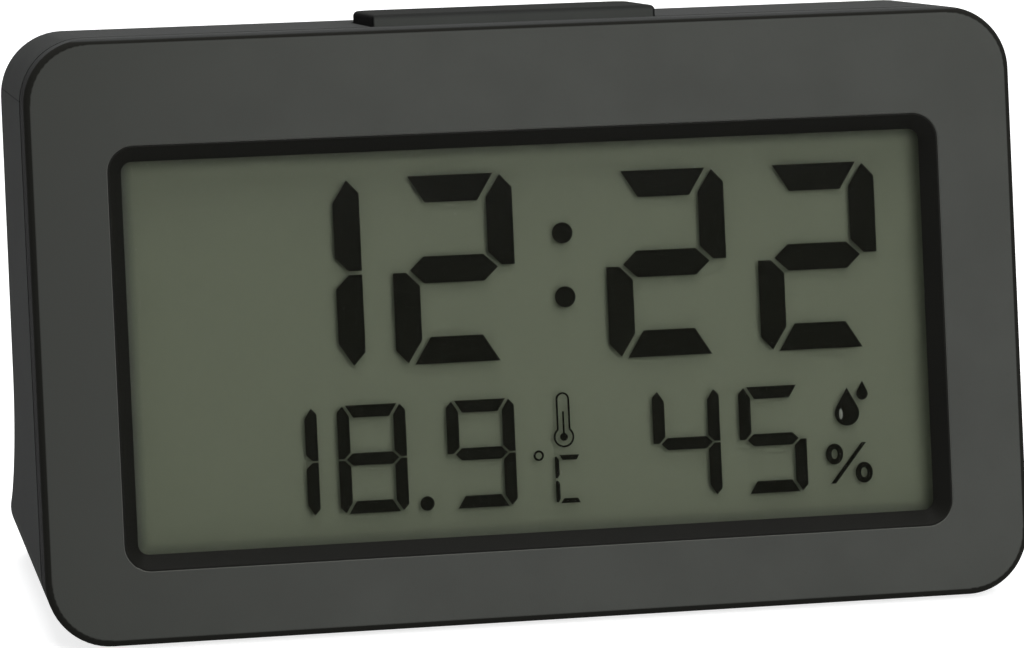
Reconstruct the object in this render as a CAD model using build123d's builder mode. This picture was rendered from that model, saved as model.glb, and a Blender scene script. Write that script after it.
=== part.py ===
from build123d import *
from math import atan, cos, degrees, pi, radians, sin, tan
import os

os.makedirs("parts", exist_ok=True)

# A table clock with a thermometer and a hygrometer, in millimetres.
# It stands on z = 0 with X along its width, Y to the back and Z up.
# Depths run square to the display face, heights run up along it.

# Form of the case: margins of the face round its window, then the angles of the sides
window_width = 105.3
window_height = 52.1
side_margin = 9.85
top_margin = 13.15
bottom_margin = 9.15
lean_angle = 12.15
roof_angle = 4.4
side_angle = 0.95
corner_radius = 8.0
face_edge_radius = 0.9
back_angle = 2.0
hollow_start_depth = 29.3
hollow_start_height = -3.5
hollow_radius = 20.0
hollow_turn = 61.0
back_edge_radius = 0.8
overrun = 3.0

# Front bezel and its window
bezel_depth = 4.8
bezel_wall = 1.2
bezel_plate = 2.1
window_corner_radius = 3.3
window_edge_bevel = 0.12
recess_setback = 1.95
trim_gap = 0.05
trim_land = 0.15
trim_drop = 0.1

# Rear case
seam_gap = 0.6
seam_edge_bevel = 0.2
case_wall = 2.2
lip_clearance = 0.15
lip_reach = 2.6

# Screws: shank and head radius, head height, and the play of a shank in its hole
screw_radius = 1.25
screw_head_radius = 2.3
screw_head_height = 1.7
screw_head_bevel = 0.5
small_screw_radius = 0.9
small_screw_head_radius = 1.7
small_screw_head_height = 1.2
screw_play = 0.05
head_play = 0.4
cross_slot_width = 0.5
cross_slot_depth = 0.6

# Bosses that the case screws and the holder screws draw up to
case_boss_radius = 3.0
case_boss_reach = 10.0
case_boss_gap = 0.45
upper_boss_drop = 7.2
lower_boss_rise = 17.7
screw_floor = 2.0
tube_wall = 1.1
holder_boss_radius = 2.4
holder_boss_rises = (16.0, -4.0)

# Display, counted from the window lens to the light guide
lens_thickness = 1.0
lens_overlap = 0.95
lens_corner_radius = 1.5
polariser_thickness = 0.2
glass_thickness = 0.7
glass_overlap = 1.45
glass_ledge = 2.5
polariser_inset = 0.35
guide_thickness = 2.5
guide_edge_gap = 1.9
holder_play = 0.2
holder_wall = 1.0
holder_back = 1.0
holder_ear_radius = 2.9
holder_top_drop = 0.4
holder_foot_rise = 0.2
holder_rim_radius = 1.5
contact_strip_width = 2.0
contact_strip_margin = 7.4
led_width = 3.0
led_thickness = 1.4
led_bevel = 0.3
led_rises = (11.0, -11.0)

# Main board and what it carries
board_thickness = 1.6
board_standoff = 1.0
board_side_inset = 0.85
board_roof_gap = 5.8
board_floor_gap = 0.6
board_corner_radius = 1.5
board_screw_inset = 3.1
board_screw_drop = 3.0
board_screw_rise = 2.1
board_screw_length = 4.8
case_screw_length = 9.0
holder_screw_length = 5.0
chip_radius = 6.0
chip_height = 1.5
chip_slope_angle = 60
chip_inset = (8.5, 13.4)
crystal_radius = 1.0
crystal_length = 6.2
crystal_inset = (8.5, 25.4)
crystal_foot = 0.6
sensor_size = 5.0
sensor_height = 1.6
sensor_corner_radius = 0.4
sensor_port_radius = 1.1
sensor_port_depth = 0.5
sensor_inset = (10.5, 23.4)
switch_size = 6.0
switch_height = 3.4
plunger_radius = 1.6
plunger_height = 1.2
snooze_switch_gap = 0.2
snooze_switch_drop = 0.4

# Snooze and light bar on the roof
bar_width = 36.0
bar_length = 15.7
bar_rise = 1.45
bar_rear_radius = 2.6
bar_front_radius = 0.8
bar_edge_radius = 0.6
bar_front_gap = 0.35
bar_side_gap = 0.25
bar_skin = 1.4
bar_wall = 1.3
bar_flange = 1.0
bar_flange_reach = 1.0
bar_flange_gap = 0.15
bar_inner_radius = 0.6
bar_post_radius = 2.0
bar_travel = 0.6
bar_play = 0.25

# Keys on the back and their board
key_spacing = 14.0
key_names = ("mode_key", "up_key", "down_key", "alarm_key")
key_drop = 9.3
key_width = 9.0
key_height = 4.8
key_corner_radius = 1.4
key_rise = 0.9
key_edge_bevel = 0.4
key_side_gap = 0.25
key_flange = 1.0
key_flange_reach = 0.8
key_flange_gap = 0.15
key_travel = 0.5
key_play = 0.15
key_board_width = 68.0
key_board_margin = 0.7
key_board_screw_inset = 3.6
key_board_boss_radius = 2.6
key_board_screw_length = 6.0
key_cable_x = 24.0
key_cable_width = 8.0
key_cable_thickness = 0.3
key_cable_gap = 0.1
key_cable_bend = 1.5

# Battery bay and door, heights counted up the back from the start of the hollow
cell_radius = 5.25
cell_length = 44.5
cell_nub_radius = 1.9
cell_nub_height = 1.0
cell_edge_bevel = 0.4
cell_play = 0.2
bay_wall = 1.4
bay_floor = 1.5
cradle_height = 2.4
cradle_width = 4.0
door_rise = 1.3
door_thickness = 1.6
door_gap = 0.25
door_seat_gap = 0.15
door_corner_radius = 1.2
door_edge_bevel = 0.3
door_ledge = 1.1
door_cell_gap = 0.4
tab_width = 6.0
tab_spacing = 34.0
tab_thickness = 1.0
tab_reach = 1.35
tab_under_gap = 0.2
tab_side_gap = 0.3
tab_swing_gap = 0.9
latch_width = 8.0
latch_slot = 0.8
latch_length = 6.0
grip_count = 3
grip_radius = 0.35
grip_spacing = 1.4
thumb_radius = 4.0
thumb_depth = 1.1

# Battery contacts
contact_thickness = 0.4
contact_width = 8.0
contact_height = 8.4
contact_play = 0.15
contact_foot = 2.4
tail_width = 3.0
dimple_radius = 2.4
dimple_height = 0.6
dimple_taper = 30
spring_wire_radius = 0.25
spring_wire_sides = 6
spring_base_radius = 3.4
spring_tip_radius = 2.2
spring_turns = 3.5
spring_length = 5.2
spring_end_gap = 0.1
spring_least_gap = 0.4

# Buzzer, vents and feet
buzzer_radius = 10.0
buzzer_thickness = 0.3
buzzer_ceramic_radius = 7.0
buzzer_ceramic_thickness = 0.2
buzzer_ring_wall = 0.9
buzzer_ring_height = 2.0
buzzer_step = 0.8
buzzer_air = 1.2
buzzer_play = 0.2
buzzer_inset = 20.5
buzzer_row = 12.0
sound_hole_radius = 0.7
sound_hole_circle = 3.0
sound_hole_count = 6
vent_length = 13.0
vent_width = 1.3
vent_spacing = 2.9
vent_count = 6
vent_inset = 19.5
vent_row = 12.0
foot_radius = 3.2
foot_rise = 0.6
foot_edge_bevel = 0.2
foot_recess = 0.5
foot_play = 0.1
foot_side_inset = 16.5
front_foot_inset = 12.0
rear_foot_inset = 9.0

# The display face in space: the front of its lower edge and the tip of the heel
# lie equally far from y = 0, and the underside stands on the feet.
case_width = window_width + 2 * side_margin
face_height = window_height + top_margin + bottom_margin
window_centre = (bottom_margin - top_margin) / 2
lean = radians(lean_angle)
heel_turn = radians(back_angle + hollow_turn)
hollow_centre_depth = hollow_start_depth + hollow_radius * cos(radians(back_angle))
hollow_centre_height = hollow_start_height + hollow_radius * sin(radians(back_angle))
hollow_end_angle = radians(180 + back_angle + hollow_turn)
hollow_end_depth = hollow_centre_depth + hollow_radius * cos(hollow_end_angle)
hollow_end_height = hollow_centre_height + hollow_radius * sin(hollow_end_angle)
heel_fall = 1 / tan(heel_turn)
heel_depth = (hollow_end_height + hollow_end_depth * heel_fall + face_height / 2) / (tan(lean) + heel_fall)
heel_height = heel_depth * tan(lean) - face_height / 2
heel_wedge = pi / 2 - (heel_turn - lean)
front_reach = (face_edge_radius - face_height / 2) * sin(lean) - face_edge_radius * (1 - cos(lean))
heel_cut = back_edge_radius * (1 / tan(heel_wedge / 2) - 1)
heel_reach = heel_depth * cos(lean) + heel_height * sin(lean) - heel_cut
overall_depth = heel_reach - front_reach
face = Plane(
    origin=(0, -(front_reach + heel_reach) / 2, foot_rise + face_height / 2 * cos(lean)),
    x_dir=(1, 0, 0),
    z_dir=(0, -cos(lean), sin(lean)),
)
outward = Axis(face.origin, face.z_dir)
side = Plane(origin=face.origin, x_dir=-face.z_dir, z_dir=(1, 0, 0))
level = Plane(origin=face.origin, x_dir=(1, 0, 0), z_dir=face.y_dir)


def depth_plane(depth):
    """Plane parallel to the display face, at a depth behind it."""
    return face.offset(-depth)


def spot(x, height, depth):
    """Point in space from its place on the face and its depth."""
    return face.from_local_coords(Vector(x, height, -depth))


def roof_height(depth):
    return face_height / 2 + depth * tan(radians(roof_angle))


def floor_height(depth):
    return depth * tan(lean) - face_height / 2


def side_reach(depth):
    return case_width / 2 - depth * tan(radians(side_angle))


roof_turn = radians(roof_angle)
roof = Plane(
    origin=spot(0, face_height / 2, 0),
    x_dir=(1, 0, 0),
    z_dir=face.y_dir * cos(roof_turn) + face.z_dir * sin(roof_turn),
)
back_turn = radians(back_angle)
back = Plane(
    origin=spot(0, hollow_start_height, hollow_start_depth),
    x_dir=(-1, 0, 0),
    z_dir=face.y_dir * sin(back_turn) - face.z_dir * cos(back_turn),
)


def back_plane(depth):
    """Plane parallel to the flat of the back, at a depth inside it."""
    return back.offset(-depth)


def back_depth(height):
    """Depth of the flat of the back at a height up the face."""
    return hollow_start_depth - (height - hollow_start_height) * tan(back_turn)


# Places that follow from the sizes above
case_front = bezel_depth + seam_gap
lip_inset = bezel_wall + lip_clearance
lip_front = case_front - lip_reach
block_end = heel_depth + overrun
lens_front = bezel_plate
front_polariser_front = lens_front + lens_thickness
front_glass_front = front_polariser_front + polariser_thickness
rear_glass_front = front_glass_front + glass_thickness
rear_polariser_front = rear_glass_front + glass_thickness
guide_front = rear_polariser_front + polariser_thickness
holder_back_front = guide_front + guide_thickness
holder_rear = holder_back_front + holder_back
board_front = holder_rear + board_standoff
board_rear = board_front + board_thickness
recess_slope_angle = degrees(atan((recess_setback - trim_gap - trim_land) / (bezel_plate - trim_drop)))
opening_width = window_width - 2 * recess_setback
opening_height = window_height - 2 * recess_setback
glass_width = opening_width + 2 * glass_overlap
glass_top = window_centre + opening_height / 2 + glass_overlap
rear_glass_bottom = window_centre - opening_height / 2 - glass_overlap
front_glass_bottom = rear_glass_bottom - glass_ledge
holder_width = glass_width + 2 * (holder_play + holder_wall)
case_boss_x = holder_width / 2 + case_boss_gap + case_boss_radius
case_boss_places = [
    (side_x * case_boss_x, height)
    for side_x in (-1, 1)
    for height in (face_height / 2 - upper_boss_drop, lower_boss_rise - face_height / 2)
]
holder_boss_heights = [window_centre + rise for rise in holder_boss_rises]
holder_boss_places = [(side_x * case_boss_x, height) for side_x in (-1, 1) for height in holder_boss_heights]
board_width = holder_width - 2 * board_side_inset
board_top = face_height / 2 - board_roof_gap
board_bottom = floor_height(board_rear) + case_wall + board_floor_gap
board_screw_places = [
    (side_x * (board_width / 2 - board_screw_inset), height)
    for side_x in (-1, 1)
    for height in (board_top - board_screw_drop, board_bottom + board_screw_rise)
]
holder_top = board_top - holder_top_drop
holder_bottom = board_bottom + holder_foot_rise
chip_place = (chip_inset[0] - board_width / 2, board_top - chip_inset[1])
crystal_place = (crystal_inset[0] - board_width / 2, board_top - crystal_inset[1])
sensor_place = (board_width / 2 - sensor_inset[0], board_top - sensor_inset[1])
tube_floor_rear = case_boss_reach + screw_floor
tube_bore_radius = screw_head_radius + head_play
bay_length = cell_length + spring_length + dimple_height + 2 * (contact_thickness + spring_end_gap)
bay_height = 4 * cell_radius + 3 * cell_play
cell_depth = door_thickness + door_cell_gap + cell_radius
bay_depth = cell_depth + cell_radius + cell_play
cell_offset = cell_radius + cell_play / 2
door_width = bay_length + 2 * door_ledge
door_height = bay_height + 2 * door_ledge
bay_row = door_rise + door_height / 2
back_top_depth = back_depth(face_height / 2) / (1 + tan(roof_turn) * tan(back_turn))
back_length = (roof_height(back_top_depth) - hollow_start_height) / cos(back_turn)
key_row = back_length - key_drop
key_board_height = switch_size + 2 * key_board_margin
key_board_screw_x = key_board_width / 2 - key_board_screw_inset
key_places = [((index - (len(key_names) - 1) / 2) * key_spacing, key_row) for index in range(len(key_names))]
key_flange_front = case_wall + key_flange_gap
key_stem_end = key_flange_front + key_flange
key_board_rear = key_stem_end + key_travel + key_play + plunger_height + switch_height
key_board_front = key_board_rear + board_thickness


def rounded_plate(plane, width, low, high, radius):
    """Rounded rectangle between two heights on a plane."""
    with BuildSketch(plane) as plate:
        with Locations((0, (low + high) / 2)):
            RectangleRounded(width, high - low, radius)
    return plate.sketch


def sharp_plate(plane, width, low, high):
    """Square-cornered rectangle between two heights on a plane."""
    with BuildSketch(plane) as plate:
        with Locations((0, (low + high) / 2)):
            Rectangle(width, high - low)
    return plate.sketch


def window_plate(plane, inset=0):
    """Outline of the window on a plane, drawn in by an inset."""
    return rounded_plate(
        plane,
        window_width - 2 * inset,
        window_centre - window_height / 2 + inset,
        window_centre + window_height / 2 - inset,
        window_corner_radius - inset,
    )


def case_block(front, rear, inset=0):
    """Block between two depths whose four sides slope as the case's do, drawn in by an inset."""
    with BuildPart() as block:
        with BuildSketch(side):
            with BuildLine():
                Polyline(
                    (front, floor_height(front) + inset),
                    (front, roof_height(front) - inset),
                    (rear, roof_height(rear) - inset),
                    (rear, floor_height(rear) + inset),
                    close=True,
                )
            make_face()
        extrude(amount=case_width, both=True)
        with BuildSketch(level):
            with BuildLine():
                Polyline(
                    (inset - side_reach(front), front),
                    (side_reach(front) - inset, front),
                    (side_reach(rear) - inset, rear),
                    (inset - side_reach(rear), rear),
                    close=True,
                )
            make_face()
        extrude(amount=case_width, both=True, mode=Mode.INTERSECT)
        ends = block.faces().sort_by(outward)
        end_edges = ends[0].edges() + ends[-1].edges()
        long_edges = [edge for edge in block.edges() if not any(edge.is_same(other) for other in end_edges)]
        fillet(long_edges, radius=corner_radius - inset)
    return block.part


def back_outline(inset=0):
    """Side view of the room in front of the back wall, its hollow and its heel."""
    wall_end = back_depth(face_height) - inset
    with BuildSketch(side) as outline:
        with BuildLine():
            hollow = CenterArc(
                (hollow_centre_depth, hollow_centre_height),
                hollow_radius + inset,
                180 + back_angle,
                hollow_turn,
            )
            heel = PolarLine(hollow @ 1, heel_depth, angle=back_angle + hollow_turn - 90)
            Polyline(
                hollow @ 0,
                (wall_end, face_height),
                (-face_height, face_height),
                (-face_height, -face_height),
                (2 * heel_depth, -face_height),
                heel @ 1,
            )
        make_face()
    return outline.sketch


def discs(plane, places, radius):
    """Equal circles at places on a plane."""
    with BuildSketch(plane) as rounds:
        with Locations(*places):
            Circle(radius)
    return rounds.sketch


def screws(plane, places, length, radius, head_radius, head_height):
    """Screws whose heads seat on a plane that faces their heads."""
    with BuildPart() as fasteners:
        extrude(discs(plane, places, radius), amount=-length)
        extrude(discs(plane, places, head_radius), amount=head_height)
    return fasteners.part


def cross_slots(plane, places, reach):
    """Outlines of cross slots at places on a plane."""
    with BuildSketch(plane) as slots:
        with Locations(*places):
            Rectangle(2 * reach, cross_slot_width)
            Rectangle(cross_slot_width, 2 * reach)
    return slots.sketch


def rim_of(faces):
    """Edges that only one of the given faces has."""
    edges = [edge for one in faces for edge in one.edges()]
    return [edge for edge in edges if sum(edge.is_same(other) for other in edges) == 1]


def save(piece, name):
    """Label a finished piece and write its file."""
    piece.part.label = name
    export_step(piece.part, f"parts/{name}.step")


# Front bezel: drafted frame with the window and the bosses behind it
with BuildPart() as front_bezel:
    add(case_block(0, bezel_depth))
    fillet(front_bezel.faces().sort_by(outward)[-1].edges(), radius=face_edge_radius)
    chamfer(front_bezel.faces().sort_by(outward)[0].edges(), length=seam_edge_bevel)
    add(case_block(bezel_plate, bezel_depth, bezel_wall), mode=Mode.SUBTRACT)
    extrude(window_plate(depth_plane(0)), amount=-bezel_plate, mode=Mode.SUBTRACT)
    window_edges = front_bezel.faces().sort_by(outward)[-1].inner_wires()[0].edges()
    chamfer(window_edges, length=window_edge_bevel)
    extrude(
        discs(depth_plane(bezel_plate), case_boss_places, case_boss_radius),
        amount=bezel_plate - case_boss_reach,
    )
    extrude(
        discs(depth_plane(bezel_plate), holder_boss_places, holder_boss_radius),
        amount=bezel_plate - holder_back_front,
    )
    extrude(
        discs(depth_plane(case_boss_reach), case_boss_places, screw_radius + screw_play),
        amount=case_boss_reach - bezel_plate,
        mode=Mode.SUBTRACT,
    )
    extrude(
        discs(depth_plane(holder_back_front), holder_boss_places, small_screw_radius + screw_play),
        amount=holder_back_front - bezel_plate,
        mode=Mode.SUBTRACT,
    )
save(front_bezel, "front_bezel")

# Dark trim that lines the window and slopes down to the lens
with BuildPart() as window_trim:
    extrude(window_plate(depth_plane(trim_drop), trim_gap), amount=trim_drop - bezel_plate)
    extrude(
        window_plate(depth_plane(trim_drop), trim_gap + trim_land),
        amount=trim_drop - bezel_plate,
        taper=recess_slope_angle,
        mode=Mode.SUBTRACT,
    )
save(window_trim, "window_trim")

# Clear window lens, bonded behind the trim and the bezel
with BuildPart() as display_window:
    extrude(
        rounded_plate(
            depth_plane(lens_front),
            window_width + 2 * lens_overlap,
            window_centre - window_height / 2 - lens_overlap,
            window_centre + window_height / 2 + lens_overlap,
            lens_corner_radius,
        ),
        amount=-lens_thickness,
    )
save(display_window, "display_window")

# Liquid crystal cell: polariser, long front glass, short rear glass, reflecting polariser
with BuildPart() as lcd_front_polariser:
    extrude(
        sharp_plate(
            depth_plane(front_polariser_front),
            glass_width - 2 * polariser_inset,
            rear_glass_bottom + polariser_inset,
            glass_top - polariser_inset,
        ),
        amount=-polariser_thickness,
    )
save(lcd_front_polariser, "lcd_front_polariser")

with BuildPart() as lcd_front_glass:
    extrude(
        sharp_plate(depth_plane(front_glass_front), glass_width, front_glass_bottom, glass_top),
        amount=-glass_thickness,
    )
save(lcd_front_glass, "lcd_front_glass")

with BuildPart() as lcd_rear_glass:
    extrude(
        sharp_plate(depth_plane(rear_glass_front), glass_width, rear_glass_bottom, glass_top),
        amount=-glass_thickness,
    )
save(lcd_rear_glass, "lcd_rear_glass")

with BuildPart() as lcd_rear_polariser:
    extrude(
        sharp_plate(
            depth_plane(rear_polariser_front),
            glass_width - 2 * polariser_inset,
            rear_glass_bottom + polariser_inset,
            glass_top - polariser_inset,
        ),
        amount=-polariser_thickness,
    )
save(lcd_rear_polariser, "lcd_rear_polariser")

# Light guide behind the cell, short of the lamps at its side edges
with BuildPart() as light_guide:
    extrude(
        sharp_plate(
            depth_plane(guide_front),
            glass_width - 2 * guide_edge_gap,
            rear_glass_bottom + polariser_inset,
            glass_top - polariser_inset,
        ),
        amount=-guide_thickness,
    )
save(light_guide, "light_guide")

# Holder: a tray that clasps the cell and the light guide against the bezel
strip_low = front_glass_bottom + (glass_ledge - contact_strip_width) / 2
strip_width = glass_width - 2 * contact_strip_margin
led_x = (glass_width - led_thickness) / 2
led_places = [(-led_x, window_centre + rise) for rise in led_rises]
with BuildPart() as lcd_holder:
    extrude(
        rounded_plate(
            depth_plane(front_polariser_front),
            holder_width,
            holder_bottom,
            holder_top,
            holder_rim_radius,
        ),
        amount=front_polariser_front - holder_rear,
    )
    with BuildSketch(depth_plane(holder_back_front)):
        with Locations(*holder_boss_places):
            Circle(holder_ear_radius)
        for height in holder_boss_heights:
            with Locations((0, height)):
                Rectangle(2 * case_boss_x, 2 * holder_ear_radius)
    extrude(amount=-holder_back)
    extrude(
        sharp_plate(
            depth_plane(front_polariser_front),
            glass_width + 2 * holder_play,
            front_glass_bottom - holder_play,
            glass_top + holder_play,
        ),
        amount=front_polariser_front - rear_glass_front,
        mode=Mode.SUBTRACT,
    )
    extrude(
        sharp_plate(
            depth_plane(rear_glass_front),
            glass_width + 2 * holder_play,
            rear_glass_bottom - holder_play / 2,
            glass_top + holder_play,
        ),
        amount=rear_glass_front - holder_back_front,
        mode=Mode.SUBTRACT,
    )
    extrude(
        sharp_plate(
            depth_plane(rear_glass_front),
            strip_width + 2 * holder_play,
            strip_low - holder_play / 2,
            rear_glass_bottom,
        ),
        amount=rear_glass_front - holder_rear,
        mode=Mode.SUBTRACT,
    )
    with BuildSketch(depth_plane(holder_rear)):
        with Locations(*led_places):
            Rectangle(led_thickness + 2 * holder_play, led_width + 2 * holder_play)
    extrude(amount=holder_back, mode=Mode.SUBTRACT)
    extrude(
        discs(depth_plane(holder_rear), board_screw_places, 2 * small_screw_radius),
        amount=-board_standoff,
    )
    extrude(
        discs(depth_plane(board_front), board_screw_places, small_screw_radius + screw_play),
        amount=board_screw_length - board_thickness,
        mode=Mode.SUBTRACT,
    )
    extrude(
        discs(depth_plane(holder_rear), holder_boss_places, small_screw_radius + 2 * screw_play),
        amount=holder_back,
        mode=Mode.SUBTRACT,
    )
save(lcd_holder, "lcd_holder")

# Elastomer contact strip between the glass ledge and the board
with BuildPart() as contact_strip:
    extrude(
        sharp_plate(depth_plane(rear_glass_front), strip_width, strip_low, strip_low + contact_strip_width),
        amount=rear_glass_front - board_front,
    )
save(contact_strip, "contact_strip")

# Side-shining lamps for the light guide
with BuildPart() as backlight_leds:
    with BuildSketch(depth_plane(board_front)):
        with Locations(*led_places):
            Rectangle(led_thickness, led_width)
    extrude(amount=board_front - guide_front)
    lamp_faces = backlight_leds.faces().filter_by(Axis.X).group_by(Axis.X)[-1]
    chamfer(lamp_faces.edges(), length=led_bevel)
save(backlight_leds, "backlight_leds")

# Main board
with BuildPart() as main_board:
    extrude(
        rounded_plate(depth_plane(board_front), board_width, board_bottom, board_top, board_corner_radius),
        amount=-board_thickness,
    )
    extrude(
        discs(depth_plane(board_front), board_screw_places, small_screw_radius + 2 * screw_play),
        amount=-board_thickness,
        mode=Mode.SUBTRACT,
    )
save(main_board, "main_board")

# Potted clock chip, a low mound on the board
with BuildPart() as clock_chip:
    with BuildSketch(Plane(spot(*chip_place, board_rear), x_dir=(-1, 0, 0), z_dir=-face.z_dir)):
        Circle(chip_radius)
    extrude(amount=chip_height, taper=chip_slope_angle)
save(clock_chip, "clock_chip")

# Watch crystal, a small can on its foot
with BuildPart() as quartz_crystal:
    crystal_depth = board_rear + crystal_foot + crystal_radius
    crystal_end = spot(crystal_place[0] - crystal_length / 2, crystal_place[1], crystal_depth)
    with BuildSketch(Plane(crystal_end, x_dir=face.y_dir, z_dir=(1, 0, 0))):
        Circle(crystal_radius)
    extrude(amount=crystal_length)
    chamfer(quartz_crystal.edges().filter_by(GeomType.CIRCLE), length=crystal_radius / 4)
    with BuildSketch(Plane(spot(*crystal_place, board_rear), x_dir=(-1, 0, 0), z_dir=-face.z_dir)):
        Rectangle(crystal_length / 2, crystal_radius)
    extrude(amount=crystal_foot + crystal_radius / 2)
save(quartz_crystal, "quartz_crystal")

# Temperature and humidity sensor with its open port
with BuildPart() as climate_sensor:
    with BuildSketch(Plane(spot(*sensor_place, board_rear), x_dir=(-1, 0, 0), z_dir=-face.z_dir)):
        RectangleRounded(sensor_size, sensor_size, sensor_corner_radius)
    extrude(amount=sensor_height)
    sensor_top = climate_sensor.faces().sort_by(outward)[0]
    with BuildSketch(sensor_top):
        Circle(sensor_port_radius)
    extrude(amount=-sensor_port_depth, mode=Mode.SUBTRACT)
save(climate_sensor, "climate_sensor")


def push_switch(plane):
    """Square push switch with a round plunger, standing on a plane."""
    with BuildPart() as switch:
        with BuildSketch(plane):
            Rectangle(switch_size, switch_size)
        extrude(amount=switch_height)
        with BuildSketch(plane.offset(switch_height)):
            Circle(plunger_radius)
        extrude(amount=plunger_height)
    return switch.part


# Snooze switch, lying on the board with its plunger towards the roof
switch_lie = board_rear + snooze_switch_gap + switch_size / 2
switch_top = board_top - snooze_switch_drop
with BuildPart() as snooze_switch:
    switch_seat = spot(0, switch_top - switch_height, switch_lie)
    add(push_switch(Plane(switch_seat, x_dir=(1, 0, 0), z_dir=face.y_dir)))
    with BuildSketch(depth_plane(board_rear)):
        with Locations((0, switch_top - switch_height / 2)):
            with GridLocations(switch_size / 2, switch_height / 2, 2, 2):
                Rectangle(contact_thickness, contact_thickness)
    extrude(amount=-snooze_switch_gap)
save(snooze_switch, "snooze_switch")

# Snooze and light bar: a hollow cap with a flange under the roof and a post over the switch
bar_front = bezel_depth + bar_front_gap
bar_centre = bar_front + bar_length / 2
bar_flange_top = case_wall + bar_flange_gap
plunger_spot = roof.to_local_coords(spot(0, switch_top + plunger_height, switch_lie))
bar_post_end = -plunger_spot.Z - bar_travel - bar_play


def bar_outline(plane, grow=0):
    """Outline of the bar on a plane of the roof, with rounder corners at the back."""
    with BuildSketch(plane) as outline:
        with Locations((0, bar_centre)):
            Rectangle(bar_width + 2 * grow, bar_length + 2 * grow)
        corners = outline.vertices().group_by(Axis(plane.origin, plane.y_dir))
        fillet(corners[-1], radius=bar_rear_radius + grow)
        fillet(corners[0], radius=bar_front_radius + grow)
    return outline.sketch


with BuildPart() as snooze_bar:
    extrude(bar_outline(roof.offset(bar_rise)), amount=-bar_rise - bar_flange_top)
    fillet(snooze_bar.faces().sort_by(Axis(roof.origin, roof.z_dir))[-1].edges(), radius=bar_edge_radius)
    with BuildSketch(roof.offset(-bar_flange_top)):
        with Locations((0, bar_front + bar_wall)):
            Rectangle(
                bar_width + 2 * bar_flange_reach,
                bar_length - bar_wall + bar_flange_reach,
                align=(Align.CENTER, Align.MIN),
            )
    extrude(amount=-bar_flange)
    with BuildSketch(roof.offset(-bar_flange_top - bar_flange)):
        with Locations((0, bar_centre)):
            RectangleRounded(bar_width - 2 * bar_wall, bar_length - 2 * bar_wall, bar_inner_radius)
    extrude(amount=bar_flange + bar_flange_top + bar_rise - bar_skin, mode=Mode.SUBTRACT)
    with BuildSketch(roof.offset(bar_rise - bar_skin)):
        with Locations((0, plunger_spot.Y)):
            Circle(bar_post_radius)
    extrude(amount=bar_skin - bar_rise - bar_post_end)
save(snooze_bar, "snooze_bar")

# Rear case
with BuildPart() as case_room:
    add(case_block(lip_front, block_end, case_wall))
    extrude(back_outline(case_wall), amount=case_width, both=True, mode=Mode.INTERSECT)

with BuildPart() as screw_tubes:
    extrude(
        discs(depth_plane(case_boss_reach), case_boss_places, tube_bore_radius + tube_wall),
        amount=case_boss_reach - block_end,
    )
    extrude(back_outline(case_wall / 2), amount=case_width, both=True, mode=Mode.INTERSECT)

buzzer_place = (case_width / 2 - buzzer_inset, buzzer_row)
vent_place = (vent_inset - case_width / 2, vent_row)
door_bottom = bay_row - door_height / 2
door_top = bay_row + door_height / 2
tab_places = [(side_x * tab_spacing / 2, door_bottom) for side_x in (-1, 1)]
tab_front = case_wall + tab_under_gap
notch_depth = tab_front + tab_thickness + tab_swing_gap
thumb_ball = (thumb_radius ** 2 + thumb_depth ** 2) / (2 * thumb_depth)
contact_rows = (bay_row + cell_offset, bay_row - cell_offset)
contact_x = bay_length / 2 - contact_thickness / 2
key_board_bosses = [(side_x * key_board_screw_x, key_row) for side_x in (-1, 1)]
foot_places = [
    (side_x * (case_width / 2 - foot_side_inset), y)
    for side_x in (-1, 1)
    for y in (front_foot_inset - overall_depth / 2, overall_depth / 2 - rear_foot_inset)
]

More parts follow.
